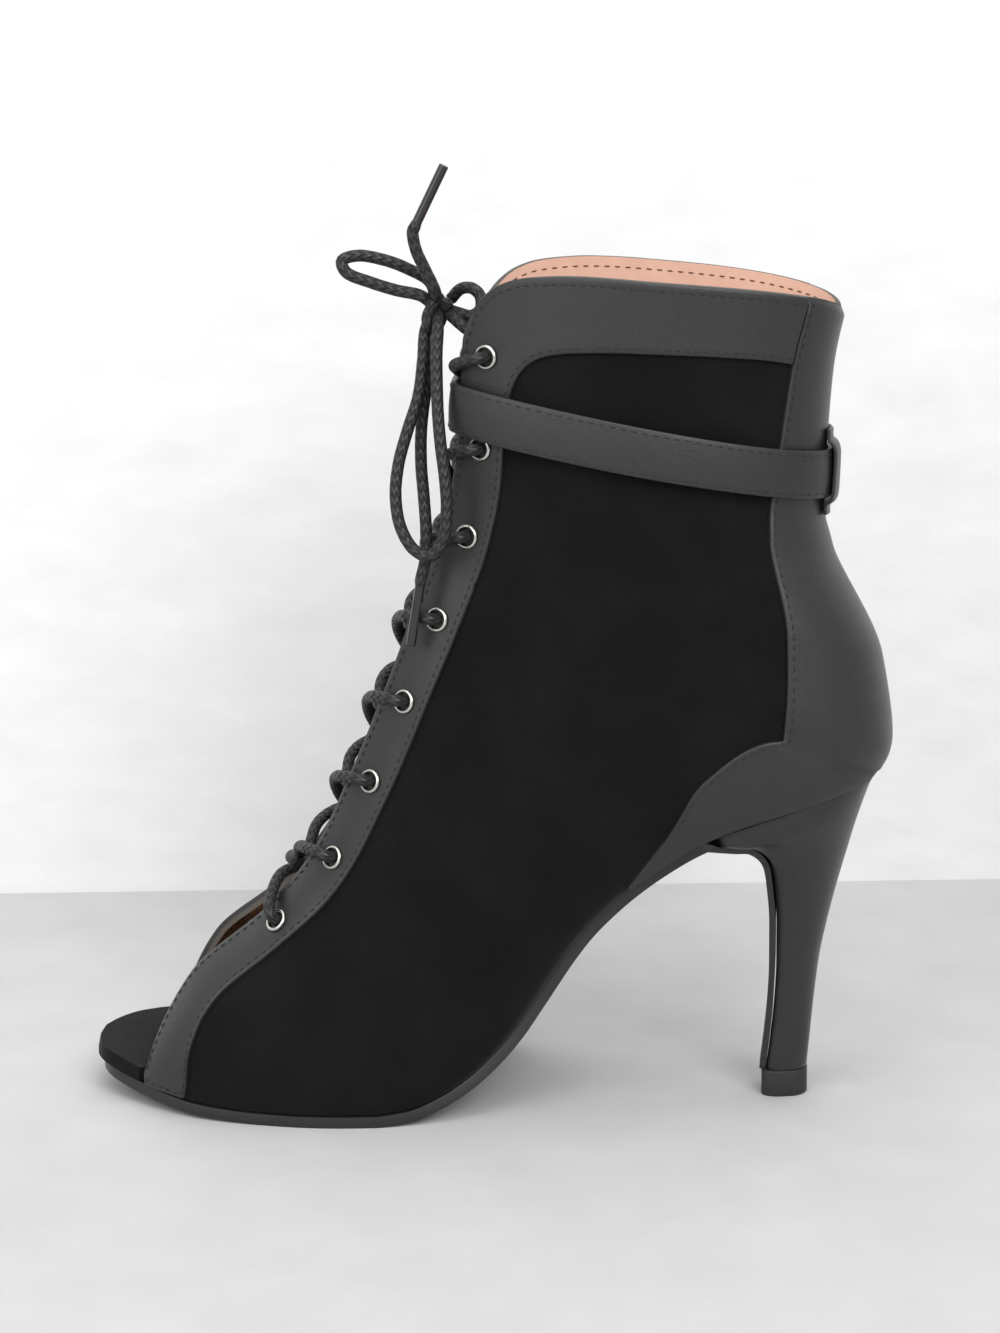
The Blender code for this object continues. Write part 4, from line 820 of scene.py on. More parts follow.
def raised(name, edge, seam, side, top):
    """A thin piece on the upper between two lines of rows and ways, with rounded rims that meet the skin."""
    width = np.array([0, 0, 0.012, 0.035, 0.075, *np.linspace(0.14, 0.86, 15), 0.925, 0.965, 0.988, 1, 1])
    lift = np.array([-0.1, 0.72, 0.90, 0.98, 1.0, *[1.0] * 15, 1.0, 0.98, 0.90, 0.72, -0.1])
    ends = np.ones(len(edge) + 2)
    ends[0] = ends[-1] = -0.1
    edge = np.concatenate([edge[:1], edge, edge[-1:]])
    seam = np.concatenate([seam[:1], seam, seam[-1:]])
    rows = edge[:, :1] + (seam[:, :1] - edge[:, :1]) * width
    ways = edge[:, 1:] + (seam[:, 1:] - edge[:, 1:]) * width
    heights = top * np.minimum(ends[:, None], lift[None])
    points = over_skin(rows, ways, side, heights)
    if side < 0:
        points = points[:, ::-1]
    return new_grid(name, points)


def facing_lines(side):
    """The facing's two long edges, the throat's and the seam, on into the collar band, as rows and ways."""
    band = curve_through(BAND_EDGE["round"], BAND_EDGE["height"])
    level = SEAT_HEIGHT + BAND_EDGE["height"][0] * UPPER_HEIGHT
    edge = []
    seam = []
    for row in [*np.linspace(0, 7, 30), *np.linspace(7.25, LAST_ROW, 28)]:
        way = min(way_from_edge(row, side, FACING_WIDTH), foot_way(row, side))
        if skin(trimmed(row, way, side), way, side)[2] > level - 0.002:
            break
        edge.append((float(trimmed(row, 0, side)), 0.0))
        seam.append((float(trimmed(row, way, side)), way))
    start = seam[-1][1]
    first = edge[-1][0]
    last = float(collar_row[side](0))

    def band_point(past):
        height = SEAT_HEIGHT + UPPER_HEIGHT * band(past)
        return row_at_height(start + past, height, side), start + past

    for share, past in zip((0.3, 0.65, 1.0), (0.002, 0.008, 0.015)):
        edge.append((first + share * (last - first), 0.0))
        seam.append(band_point(past))
    for way, past in zip(TURN["collar"], TURN["band"]):
        edge.append((float(collar_row[side](way)), way))
        seam.append(band_point(past))
    end = counter_way(collar_row[side](0.83)) - PANEL_GAP
    edge.append((float(collar_row[side](end)), end))
    end = counter_way(band_point(0.70)[0]) - PANEL_GAP
    seam.append(band_point(end - start))
    return edge, seam


def stitches(name, points, normals, pitch, thread, width=0.00045, share=0.68):
    """A row of stitches along a line: each a low, round-ended bead of thread, its ends drawn down."""
    run = np.concatenate([[0], np.cumsum(np.linalg.norm(np.diff(points, axis=0), axis=1))])
    count = max(int(run[-1] / pitch), 1)
    at = (np.arange(count) + 0.5) * run[-1] / count
    along = np.linspace(-1, 1, 7)
    round_it = np.linspace(0, 2 * math.pi, 7)[:-1]
    all_points = []
    faces = []
    step = run[-1] / count * share / 2
    for middle in at:
        places = middle + along * step
        line = np.stack([np.interp(places, run, points[:, i]) for i in range(3)], axis=1)
        out = np.array([np.interp(middle, run, normals[:, i]) for i in range(3)])
        out /= np.linalg.norm(out)
        ahead = line[-1] - line[0]
        ahead /= np.linalg.norm(ahead)
        beside = np.cross(out, ahead)
        first = len(all_points)
        for k, point in zip(along, line):
            size = width / 2 * math.sqrt(max(1 - abs(k) ** 3, 0.02))
            sink = -0.00022 * abs(k) ** 3 + 0.00004
            for angle in round_it:
                rise = size * 0.8 * math.sin(angle) + sink
                all_points.append(point + out * rise + beside * size * math.cos(angle))
        for r in range(6):
            for c in range(6):
                d = (c + 1) % 6
                faces.append((first + r * 6 + c, first + r * 6 + d, first + r * 6 + 6 + d, first + r * 6 + 6 + c))
        faces.append(tuple(first + c for c in range(5, -1, -1)))
        faces.append(tuple(first + 36 + c for c in range(6)))
    mesh = bpy.data.meshes.new(name)
    mesh.from_pydata([tuple(p) for p in all_points], [], faces)
    mesh.shade_smooth()
    piece = bpy.data.objects.new(name, mesh)
    bpy.context.scene.collection.objects.link(piece)
    return finish_piece(piece, thread)


def line_on(pairs, other, side, inset, height):
    """A line beside the edge of an overlay: an inset from it towards the other edge, as points and normals."""
    first = skin(pairs[:, 0], pairs[:, 1], side)
    second = skin(other[:, 0], other[:, 1], side)
    share = np.clip(inset / np.linalg.norm(second - first, axis=1), 0, 0.45)
    rows = pairs[:, 0] + (other[:, 0] - pairs[:, 0]) * share
    ways = pairs[:, 1] + (other[:, 1] - pairs[:, 1]) * share
    return over_skin(rows, ways, side, height), skin_normal(rows, ways, side)


def make_facings():
    for side in (1, -1):
        edge, seam = facing_lines(side)
        count = 5 * len(edge)
        fine_edge = fine_line(edge, count)
        fine_seam = fine_line(seam, count)
        name = f"facing_{SIDE_NAMES[side]}"
        piece = raised(name + "_leather", fine_edge, fine_seam, side, OVERLAY_TOP)
        smooth(piece, 60)
        finish_piece(piece, LEATHER, [name])
        line, normals = line_on(fine_seam, fine_edge, side, 0.0014, OVERLAY_TOP + 0.00008)
        stitches(f"{name}_seam_stitches", line, normals, 0.0027, THREAD)
        line, normals = line_on(fine_edge, fine_seam, side, 0.0021, OVERLAY_TOP + 0.00008)
        stitches(f"{name}_edge_stitches", line[4:], normals[4:], 0.0027, THREAD)


def counter_lines(side):
    rows = np.array([6.15, *np.linspace(6.6, 7.88, 16), 8.08, *np.linspace(8.3, LAST_ROW, 60)])
    start = []
    end = []
    for row in rows:
        finish = foot_way(row, side)
        begin = min(float(counter_way(trimmed(row, 0.8, side))), finish - 0.012)
        start.append(begin)
        end.append(finish)
    return rows, np.array(start), np.array(end)


def make_counter():
    """The counter: one piece round the back, with a rounded front edge on each side."""
    halves = []
    stitch_lines = []
    for side in (1, -1):
        rows, start, end = counter_lines(side)
        share = np.array([0, 0, 0.006, 0.018, 0.04, *np.linspace(0.08, 1, 40)])
        lift = np.array([-0.1, 0.72, 0.9, 0.98, 1.0, *[1.0] * 40])
        ways = start[:, None] + (end - start)[:, None] * share
        heights = np.broadcast_to(OVERLAY_TOP * lift, ways.shape).copy()
        heights[-1] = -0.0001
        grid_rows = trimmed(np.broadcast_to(rows[:, None], ways.shape), ways, side)
        halves.append(over_skin(grid_rows, ways, side, heights))
        inset = start + 0.0017 / WAY_RUN * 0.9
        places = trimmed(rows, inset, side)
        stitch_lines.append((over_skin(places, inset, side, OVERLAY_TOP + 0.00008), skin_normal(places, inset, side)))
    points = np.concatenate([halves[0], halves[1][:, ::-1]], axis=1)
    top = points[-1:] * 1.0
    points = np.concatenate([points[:-1], points[-2:-1] * 0.35 + top * 0.65, top])
    piece = new_grid("counter_leather", points)
    weld(piece)
    smooth(piece, 60)
    finish_piece(piece, LEATHER, ["counter"])
    for (line, normals), side in zip(stitch_lines, (1, -1)):
        stitches(f"counter_{SIDE_NAMES[side]}_stitches", line[2:], normals[2:], 0.0029, THREAD)


def strap_row(way, side, offset):
    """The row at which the strap's middle line, or a line beside it, passes a way round."""
    front = CURVES["throat_x"](12)
    back = CURVES["base_x"](12)
    rows = np.linspace(10, LAST_ROW, 81)
    points = skin(rows, way, side)
    slope = (STRAP_FRONT_HEIGHT - STRAP_BACK_HEIGHT) / (front - back)
    over = points[:, 2] - offset - STRAP_BACK_HEIGHT - slope * (points[:, 0] - back)
    return float(np.interp(0, over, rows))


def strap_stations():
    """The strap's two edges round the ankle, and the direction out at each station."""
    ways = np.linspace(0, 0.985, 60)
    sides = {}
    for side in (1, -1):
        line = []
        for way in ways:
            over = STRAP_OVER + 0.0009 * np.clip((0.30 - way) / 0.18, 0, 1) + STRAP_THICKNESS
            line.append([
                over_skin(strap_row(way, side, offset), way, side, over)
                for offset in (-STRAP_WIDTH / 2, STRAP_WIDTH / 2)
            ])
        sides[side] = line
    back = [[
        over_skin(strap_row(1, 1, offset), 1, 1, STRAP_OVER + STRAP_THICKNESS)
        for offset in (-STRAP_WIDTH / 2, STRAP_WIDTH / 2)
    ]]
    front = []
    for across in np.linspace(0.9, -0.9, 19):
        front.append([
            other + (one - other) * (across + 1) / 2 + np.array([STRAP_BULGE * (1 - across * across), 0, 0])
            for one, other in zip(sides[1][0], sides[-1][0])
        ])
    ring = np.array([*sides[1], *back, *sides[-1][::-1], *front[::-1]])
    for _ in range(2):
        ring = 0.5 * ring + 0.25 * (np.roll(ring, 1, axis=0) + np.roll(ring, -1, axis=0))
    return ring


def make_strap():
    ring = strap_stations()
    share = np.linspace(0, 1, 9)
    ahead = np.roll(ring, -1, axis=0).mean(axis=1) - np.roll(ring, 1, axis=0).mean(axis=1)
    up = ring[:, 1] - ring[:, 0]
    out = np.cross(ahead, up)
    out /= np.linalg.norm(out, axis=1)[:, None]
    centre = ring.mean(axis=(0, 1))
    if np.mean(np.sum(out * (ring.mean(axis=1) - centre), axis=1)) < 0:
        out = -out
    crown = 0.0004 * (1 - (2 * share - 1) ** 2)
    points = ring[:, :1] * (1 - share)[:, None] + ring[:, 1:] * share[:, None] + out[:, None] * crown[:, None]
    closed = np.concatenate([points, points[:1]])
    piece = new_grid("ankle_strap_leather", closed)
    weld(piece)
    shape = bmesh.new()
    shape.from_mesh(piece.data)
    shape.faces.ensure_lookup_table()
    middle = Vector(centre)
    if sum(f.normal.dot(f.calc_center_median() - middle) for f in shape.faces) < 0:
        bmesh.ops.reverse_faces(shape, faces=shape.faces)
    shape.to_mesh(piece.data)
    shape.free()
    modify(piece, "SOLIDIFY", thickness=STRAP_THICKNESS, offset=-1)
    modify(piece, "BEVEL", width=0.0004, segments=3, limit_method="ANGLE", angle_limit=math.radians(50))
    smooth(piece, 40)
    finish_piece(piece, LEATHER, ["ankle_strap"])
    for label, place in (("lower", 0.10), ("upper", 0.90)):
        line = ring[:, 0] * (1 - place) + ring[:, 1] * place + out * 0.0002
        line = np.concatenate([line, line[:1]])
        stitches(f"strap_{label}_stitches", line, np.concatenate([out, out[:1]]), 0.003, THREAD)


def make_keeper():
    """The keeper: a short band at the back seam that holds the strap."""
    over = curve_through(KEEPER["along"], KEEPER["over"])
    start = KEEPER_WAYS[0]
    line = [(way, 1) for way in np.linspace(start, 1, 8)] + [(way, -1) for way in np.linspace(1, start, 8)[1:]]
    points = []
    for along in np.linspace(KEEPER["along"][0], KEEPER["along"][-1], 33):
        points.append([
            over_skin(strap_row(way, side, along), way, side, float(over(along)) + CLEARANCE) for way, side in line
        ])
    piece = new_grid("strap_keeper_leather", np.array(points))
    modify(piece, "SOLIDIFY", thickness=KEEPER_THICKNESS, offset=-1)
    modify(piece, "BEVEL", width=0.0003, segments=3, limit_method="ANGLE", angle_limit=math.radians(50))
    smooth(piece, 40)
    finish_piece(piece, LEATHER, ["strap_keeper"])


def eyelet_frame(row, way, side):
    """The place and the directions of an eyelet: its own Z points out of the upper."""
    out = Vector(skin_normal(row, way, side))
    along = Vector(skin(row + 0.05, way, side) - skin(row - 0.05, way, side))
    along = (along - out * along.dot(out)).normalized()
    turned = Matrix((along, out.cross(along), out)).transposed()
    return Matrix.Translation(Vector(skin(row, way, side))) @ turned.to_4x4()


def make_eyelets():
    """All sixteen eyelets: turned rings with a rolled flange and a barrel."""
    foot = OVERLAY_TOP
    flange = []
    for turn in np.linspace(-0.12, 1.0, 9) * math.pi:
        middle = (EYELET_BORE + EYELET_FLANGE) / 2 + 0.00005
        wide = (EYELET_FLANGE - EYELET_BORE) / 2
        flange.append((middle + wide * math.cos(turn), foot + 0.0009 * math.sin(turn) + 0.0001))
    profile = [*flange, (EYELET_BORE, -UPPER_WALL), (EYELET_BARREL, -UPPER_WALL), (EYELET_BARREL, foot)]
    count = 40
    points = []
    faces = []
    rims = []
    for side in (1, -1):
        for row, way in eyelets_at[side]:
            frame_here = eyelet_frame(row, way, side)
            first = len(points)
            for k in range(count):
                angle = 2 * math.pi * k / count
                for radius, height in profile:
                    points.append(frame_here @ Vector((radius * math.cos(angle), radius * math.sin(angle), height)))
                    rims.append(float(np.clip((height - foot) / 0.0009, 0, 1)))
            n = len(profile)
            for k in range(count):
                after = (k + 1) % count
                for c in range(n):
                    d = (c + 1) % n
                    faces.append((first + k * n + c, first + after * n + c, first + after * n + d, first + k * n + d))
    mesh = bpy.data.meshes.new("eyelets")
    mesh.from_pydata([tuple(p) for p in points], [], faces)
    rim = mesh.attributes.new("rim", "FLOAT", "POINT")
    rim.data.foreach_set("value", rims)
    piece = bpy.data.objects.new("eyelets", mesh)
    bpy.context.scene.collection.objects.link(piece)
    bpy.ops.object.select_all(action="DESELECT")
    piece.select_set(True)
    bpy.context.view_layer.objects.active = piece
    bpy.ops.object.mode_set(mode="EDIT")
    bpy.ops.mesh.select_all(action="SELECT")
    bpy.ops.mesh.normals_make_consistent(inside=False)
    bpy.ops.object.mode_set(mode="OBJECT")
    smooth(piece, 50)
    names = [f"eyelet_{SIDE_NAMES[side]}_{number + 1}" for side in (1, -1) for number in range(EYELETS)]
    finish_piece(piece, NICKEL, names)


def tube(name, lines, radius, finish, around=20, pitch=0.0030):
    """A round lace along one or more lines of points; its UV runs once round and once every pitch along."""
    verts = []
    faces = []
    uvs = []
    for points in lines:
        points = np.asarray(points, float)
        tangent = np.gradient(points, axis=0)
        tangent /= np.linalg.norm(tangent, axis=1)[:, None]
        normal = np.cross(tangent[0], [0.3, 0.2, 1.0])
        normals = []
        for t in tangent:
            normal = normal - t * (normal @ t)
            normal = normal / np.linalg.norm(normal)
            normals.append(normal)
        normals = np.array(normals)
        beside = np.cross(tangent, normals)
        run = np.concatenate([[0], np.cumsum(np.linalg.norm(np.diff(points, axis=0), axis=1))])
        first = len(verts)
        for i in range(len(points)):
            for k in range(around):
                angle = 2 * math.pi * k / around
                verts.append(points[i] + radius * (normals[i] * math.cos(angle) + beside[i] * math.sin(angle)))
        for i in range(len(points) - 1):
            for k in range(around):
                d = (k + 1) % around
                faces.append((first + i * around + k, first + i * around + d,
                              first + (i + 1) * around + d, first + (i + 1) * around + k))
                low, high = run[i] / pitch, run[i + 1] / pitch
                uvs += [(k / around, low), ((k + 1) / around, low), ((k + 1) / around, high), (k / around, high)]
        for i, order in ((0, range(around - 1, -1, -1)), (len(points) - 1, range(around))):
            faces.append(tuple(first + i * around + k for k in order))
            uvs += [(0.0, run[i] / pitch)] * around
    mesh = bpy.data.meshes.new(name)
    mesh.from_pydata([tuple(p) for p in verts], [], faces)
    layer = mesh.uv_layers.new(name="braid")
    layer.data.foreach_set("uv", np.array(uvs, dtype=np.float32).reshape(-1))
    mesh.shade_smooth()
    mesh.set_sharp_from_angle(angle=math.radians(60))
    piece = bpy.data.objects.new(name, mesh)
    bpy.context.scene.collection.objects.link(piece)
    return finish_piece(piece, finish)


def smooth_line(points, count):
    """Evenly spaced points on a smooth curve through the given ones."""
    points = np.array(points, float)
    run = np.concatenate([[0], np.cumsum(np.linalg.norm(np.diff(points, axis=0), axis=1) ** 0.5)])
    slopes = np.gradient(points, run, axis=0)
    fine = []
    for i in range(len(points) - 1):
        step = run[i + 1] - run[i]
        for t in np.linspace(0, 1, 24, endpoint=i == len(points) - 2):
            fine.append(
                points[i] * (1 + 2 * t) * (1 - t) ** 2
                + points[i + 1] * t * t * (3 - 2 * t)
                + step * (slopes[i] * t * (1 - t) ** 2 - slopes[i + 1] * t * t * (1 - t))
            )
    fine = np.array(fine)
    length = np.concatenate([[0], np.cumsum(np.linalg.norm(np.diff(fine, axis=0), axis=1))])
    at = np.linspace(0, length[-1], count)
    return np.stack([np.interp(at, length, fine[:, i]) for i in range(3)], axis=1)


def throat_frame(run_at):
    """A point of the middle line between the throat's edges, and the direction out of the throat there."""
    rows, edge = edge_of[1]
    run = np.concatenate([[0], np.cumsum(np.linalg.norm(np.diff(edge[:, [0, 2]], axis=0), axis=1))])
    before, point, after = [
        np.array([np.interp(run_at + step, run, edge[:, i]) for i in (0, 2)]) for step in (-0.003, 0, 0.003)
    ]
    along = (after - before) / np.linalg.norm(after - before)
    return np.array([point[0], 0, point[1]]), np.array([along[1], 0, -along[0]]), float(np.interp(run_at, run, rows))


def run_beside(point):
    """How far along the throat's edge a point of the facing lies."""
    rows, edge = edge_of[1]
    flat = edge[:, [0, 2]]
    run = np.concatenate([[0], np.cumsum(np.linalg.norm(np.diff(flat, axis=0), axis=1))])
    return float(run[int(np.argmin(np.linalg.norm(flat - point[[0, 2]], axis=1)))])


def leave_eyelet(side, number, slant):
    """How a strand leaves an eyelet: up through its bore, over its rim, then over the facing's edge."""
    row, way = eyelets_at[side][number]
    run = run_beside(skin(row, way, side))
    edge_row = throat_frame(run + slant)[2]
    over_facing = OVERLAY_TOP + CLEARANCE + LACE / 2
    start = [
        over_skin(row, way, side, -0.0034),
        over_skin(row, way, side, 0.0004),
        over_skin(row + (edge_row - row) * 0.06, way * 0.93, side, over_facing + 0.0007),
        over_skin(row + (edge_row - row) * 0.28, way * 0.68, side, over_facing + 0.0012),
        over_skin(row + (edge_row - row) * 0.62, way * 0.34, side, over_facing + 0.0006),
    ]
    return [*start, over_skin(edge_row, 0.0, side, over_facing)], run


def crossing_line(number, side, level):
    """The route of one strand of a crossing, from inside its upper eyelet to under the other facing."""
    first, upper_run = leave_eyelet(side, number + 1, -0.0034)
    last, lower_run = leave_eyelet(-side, number, 0.0034)
    points = list(first)
    for along, across, over in zip(CROSSING["along"], CROSSING["across"], CROSSING[level]):
        if number == 0 and along > 0.6:
            continue
        middle, out, row = throat_frame(upper_run + (lower_run - upper_run) * along)
        half = CURVES["gap"](row)
        points.append(middle + over * out + np.array([0, side * across * half, 0]))
    if number == 0:
        middle, out, row = throat_frame(upper_run + (lower_run - upper_run) * 0.72)
        half = CURVES["gap"](row)
        points.append(middle + 0.0040 * out - np.array([0, side * 0.62 * half, 0]))
        points += last[::-1]
    return smooth_line(points, 90)


def make_lacing():
    lines = []
    for number in range(EYELETS - 1):
        under_strap = number == EYELETS - 2
        lines.append(crossing_line(number, 1, "strapped" if under_strap else "over"))
        lines.append(crossing_line(number, -1, "strapped_under" if under_strap else "under"))
    piece = tube("lacing", lines, LACE / 2, LACE_BRAID)
    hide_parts(*[f"lace_crossing_{number + 1}" for number in range(EYELETS - 1)])


def make_bow():
    """The bow: its two loops and two ends, tied over the throat, and the sleeves on its ends."""
    ties = [smooth_line([(x, sign * y, z) for x, y, z in KNOT_TIE], 40) for sign in (1, -1)]
    centre = np.array(KNOT_PLACE)
    turns = []
    for ahead, tilt, size, twist in ((0.0, 0.0, 0.0027, 1.12), (0.0032, 0.35, 0.0024, 0.9)):
        turn = Matrix.Rotation(math.radians(60) + tilt, 3, "Y") @ Matrix.Rotation(math.radians(20), 3, "X")
        line = []
        for k in np.linspace(-0.55, 0.55, 48) * twist:
            angle = 2 * math.pi * k
            spot = Vector((size * math.cos(angle), size * 1.1 * math.sin(angle), 0.0030 * k))
            line.append(centre + np.array([ahead * 0.35, 0.0006, -ahead]) + np.array(turn @ spot))
        turns.append(np.array(line))
    stub = smooth_line(KNOT_STUB, 50)
    knot = tube("bow_knot", [*ties, *turns, stub], LACE / 2, LACE_BRAID)
    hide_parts("lace_knot")
    inner = centre + np.array([0.0005, 0.0010, -0.0012])
    sleeves = {}
    for name, ends in (("aglet_up", END_UP_AGLET), ("aglet_down", END_DOWN_AGLET)):
        line = np.linspace(np.array(ends[0]), np.array(ends[1]), 14)
        sleeves[name] = tube(name + "_sleeve", [line], AGLET / 2, SLEEVE, 24)
        modify(sleeves[name], "BEVEL", width=0.00025, segments=2, limit_method="ANGLE", angle_limit=math.radians(60))
        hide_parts(name)
    for name, route, sleeve, count in (
        ("lace_loop_ahead", LOOP_AHEAD, None, 110),
        ("lace_loop_down", LOOP_DOWN, None, 200),
        ("lace_end_up", END_UP, "aglet_up", 60),
        ("lace_end_down", END_DOWN, "aglet_down", 130),
    ):
        start = centre + (np.array(route[0]) - centre) * 0.15
        points = [start, *route]
        if sleeve:
            ends = END_UP_AGLET if sleeve == "aglet_up" else END_DOWN_AGLET
            points += [np.array(ends[0]), np.array(ends[0]) * 0.2 + np.array(ends[1]) * 0.8]
        else:
            points.append(centre + (np.array(route[-1]) - centre) * 0.15)
        line = smooth_line(points, count)
        piece = tube(name + "_braid", [line], LACE / 2, LACE_BRAID)
        if sleeve:
            slim_end(piece, line, 20)
        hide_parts(name)


def slim_end(piece, line, around):
    """Draws a lace in where it enters its sleeve."""
    run = np.concatenate([[0], np.cumsum(np.linalg.norm(np.diff(line, axis=0), axis=1))])
    entry = run[-1] - 0.0150
    for i, point in enumerate(line):
        share = float(np.clip((run[i] - entry) / 0.0022, 0, 1))
        size = 1 - share * (1 - 0.72)
        for k in range(around):
            vert = piece.data.vertices[i * around + k]
            vert.co = Vector(point) + (vert.co - Vector(point)) * size
    piece.data.update()


def tongue_point(row, shares):
    """Points across the tongue's outer face: its edges lie against the wall, and its middle lies in the throat."""
    rows = np.array([row], float)
    across_points = []
    for share in shares:
        side = 1 if share >= 0 else -1
        points = sections(rows, side)[0]
        throat = points[0][[0, 2]]
        base = points[-1][[0, 2]]
        length = np.linalg.norm(base - throat)
        depth = (points[:, [0, 2]] - throat) @ (base - throat) / length
        across = side * points[:, 1]
        steps = np.stack([np.gradient(depth), np.gradient(across)])
        steps = (UPPER_WALL + TONGUE_GAP) * steps / np.linalg.norm(steps, axis=0)
        widest = int(np.argmax(across))
        edge_depth = float(np.interp(TONGUE_HALF, (across - steps[0])[:widest], (depth + steps[1])[:widest]))
        place = TONGUE_DEPTH + (edge_depth - TONGUE_DEPTH) * abs(share) ** 1.5
        x, z = throat + (base - throat) / length * place
        across_points.append((x, share * TONGUE_HALF, z))
    return np.array(across_points)


def make_tongue():
    rows = np.linspace(*TONGUE_ROWS, 120)
    shares = np.linspace(-1, 1, 31)
    points = np.array([tongue_point(row, shares) for row in rows])
    piece = new_grid("tongue_cloth", points)
    modify(piece, "SOLIDIFY", thickness=TONGUE_THICKNESS, offset=-1)
    modify(piece, "BEVEL", width=0.0004, segments=2, limit_method="ANGLE", angle_limit=math.radians(50))
    smooth(piece, 45)
    finish_piece(piece, GREY_CLOTH, ["tongue"])
    inward = points[0] - points[3]
    edge = points[0] - 0.35 * inward / 3
    binding = tube("tongue_binding", [smooth_line(edge[2:-2] + np.array([0, 0, -0.0005]), 60)], 0.0011, BINDING, 16)


def slab(name, stations, columns):
    """A closed slab from stations, each its lower middle, its upper middle and how far it reaches to each side."""
    across = np.sin(np.linspace(-1, 1, columns) * math.pi / 2) * 0.5 + 0.5
    points = []
    for level in (0, 1):
        for station in stations:
            middle = station[level]
            inner, outer = station[2], station[3]
            for share in across:
                points.append((middle[0], -outer + (inner + outer) * share, middle[1]))
    rows = len(stations)
    count = rows * columns
    faces = []
    for first in (0, count):
        for r in range(rows - 1):
            for c in range(columns - 1):
                a = first + r * columns + c
                faces.append((a, a + 1, a + columns + 1, a + columns))
    rim = [(r, 0) for r in range(rows)] + [(rows - 1, c) for c in range(1, columns)]
    rim += [(r, columns - 1) for r in range(rows - 2, -1, -1)] + [(0, c) for c in range(columns - 2, 0, -1)]
    for (r0, c0), (r1, c1) in zip(rim, rim[1:] + rim[:1]):
        low = (r0 * columns + c0, r1 * columns + c1)
        faces.append((*low, low[1] + count, low[0] + count))
    return mesh_piece(name, points, faces)


def sole_stations(depths, xs, reach):
    """Stations along the sole's top: how far under it the two faces lie, and the reach to each side."""
    made = []
    for x in xs:
        ahead = sole_top(x + 0.0001)
        behind = sole_top(x - 0.0001)
        slope = math.atan2(ahead - behind, 0.0002)
        down = np.array([math.sin(slope), -math.cos(slope)])
        top = np.array([x, sole_top(x)])
        made.append((top + depths[0] * down, top + depths[1] * down, reach(x, 1), reach(x, -1)))
    return made


def outsole_reach(x, side):
    toe = np.clip((x / LENGTH - 0.17) / 0.13, 0, 1)
    waist = np.clip((-0.10 - x / LENGTH) / 0.15, 0, 1)
    return outline[side](x + TOE_SETBACK * toe) - WAIST_TRIM * waist


def finer(column, count):
    """A column of the heel's table, drawn finer."""
    values = HEEL[column]
    return curve_through(np.arange(len(values)), values)(np.linspace(0, len(values) - 1, count))


def flap_line():
    """The flap's outer face, seen from the side: its points and the direction through it at each."""
    face = np.stack([finer("flap_x", HEEL_RINGS) * LENGTH, finer("flap_z", HEEL_RINGS) * SEAT_HEIGHT], axis=1)
    ahead = np.gradient(face, axis=0)
    ahead = np.concatenate([ahead[:1], (ahead[:-2] + ahead[1:-1] + ahead[2:]) / 3, ahead[-1:]])
    ahead /= np.linalg.norm(ahead, axis=1)[:, None]
    return face, np.stack([ahead[:, 1], -ahead[:, 0]], axis=1)


def make_outsole():
    tip = OUTLINE["x"][-1] * LENGTH - TOE_SETBACK
    front = tip - (tip - 0.20 * LENGTH) * (1 - np.cos(np.linspace(0, math.pi / 2, 30)))
    xs = sorted({*front, *np.linspace(0.20 * LENGTH, -0.455 * LENGTH, 110)}, reverse=True)
    stations = sole_stations((SOLE_THICKNESS, 0), xs, outsole_reach)
    face, through = flap_line()
    for lower, back, half in zip(face, through, finer("flap_half", HEEL_RINGS)):
        stations.append((lower, lower + FLAP_THICKNESS * back, half * BALL_WIDTH, half * BALL_WIDTH))
    piece = slab("outsole_leather", stations, 13)
    modify(piece, "BEVEL", width=0.0006, segments=3, limit_method="ANGLE", angle_limit=math.radians(50))
    smooth(piece, 40)
    finish_piece(piece, SOLE, ["outsole"])


def make_insole():
    shoulder = SECTIONS["base_x"][0] * LENGTH + INSOLE_SHOULDER
    inset = SOLE_LEDGE + UPPER_WALL + INSOLE_CLEARANCE

    def reach(x, side):
        toe = np.clip((x / LENGTH - 0.17) / 0.06, 0, 1)
        seat = np.clip((-0.56 - x / LENGTH) / 0.06, 0, 1)
        inside = max(outline[side](x + inset * (0.7 * toe - seat)) - inset, 0.0006)
        wide = np.clip((x - shoulder + 0.0012) / 0.0016, 0, 1)
        return inside + (outline[side](x) - inside) * wide

    tip = OUTLINE["x"][-1] * LENGTH
    front = tip - (tip - shoulder) * (1 - np.cos(np.linspace(0, math.pi / 2, 30)))
    inside = np.linspace(shoulder, -0.60 * LENGTH, 90)
    back = -0.60 * LENGTH - (0.048 * LENGTH) * np.sin(np.linspace(0, math.pi / 2, 12))[1:]
    xs = [*front, *inside[1:], *back]
    stations = sole_stations((-CLEARANCE, -CLEARANCE - INSOLE_THICKNESS), xs, reach)
    piece = slab("insole_suede", stations, 15)
    modify(piece, "BEVEL", width=0.0014, segments=4, limit_method="ANGLE", angle_limit=math.radians(50))
    smooth(piece, 40)
    finish_piece(piece, SUEDE, ["insole"])


def heel_shares(half, flat, count=24):
    """One ring of the heel as shares of the way from front to back and half widths: a flat front, a round back."""
    shares = [(0.0, 0.0), (0.0, flat / 2), (0.0, flat), (0.10, flat + 0.72 * (half - flat)), (0.32, half)]
    for turn in np.linspace(0, math.pi / 2, count)[1:]:
        shares.append((0.32 + 0.68 * math.sin(turn), half * max(math.cos(turn), 0.0) ** 0.9))
    return np.array(shares + [(along, -across) for along, across in shares[-2:0:-1]])


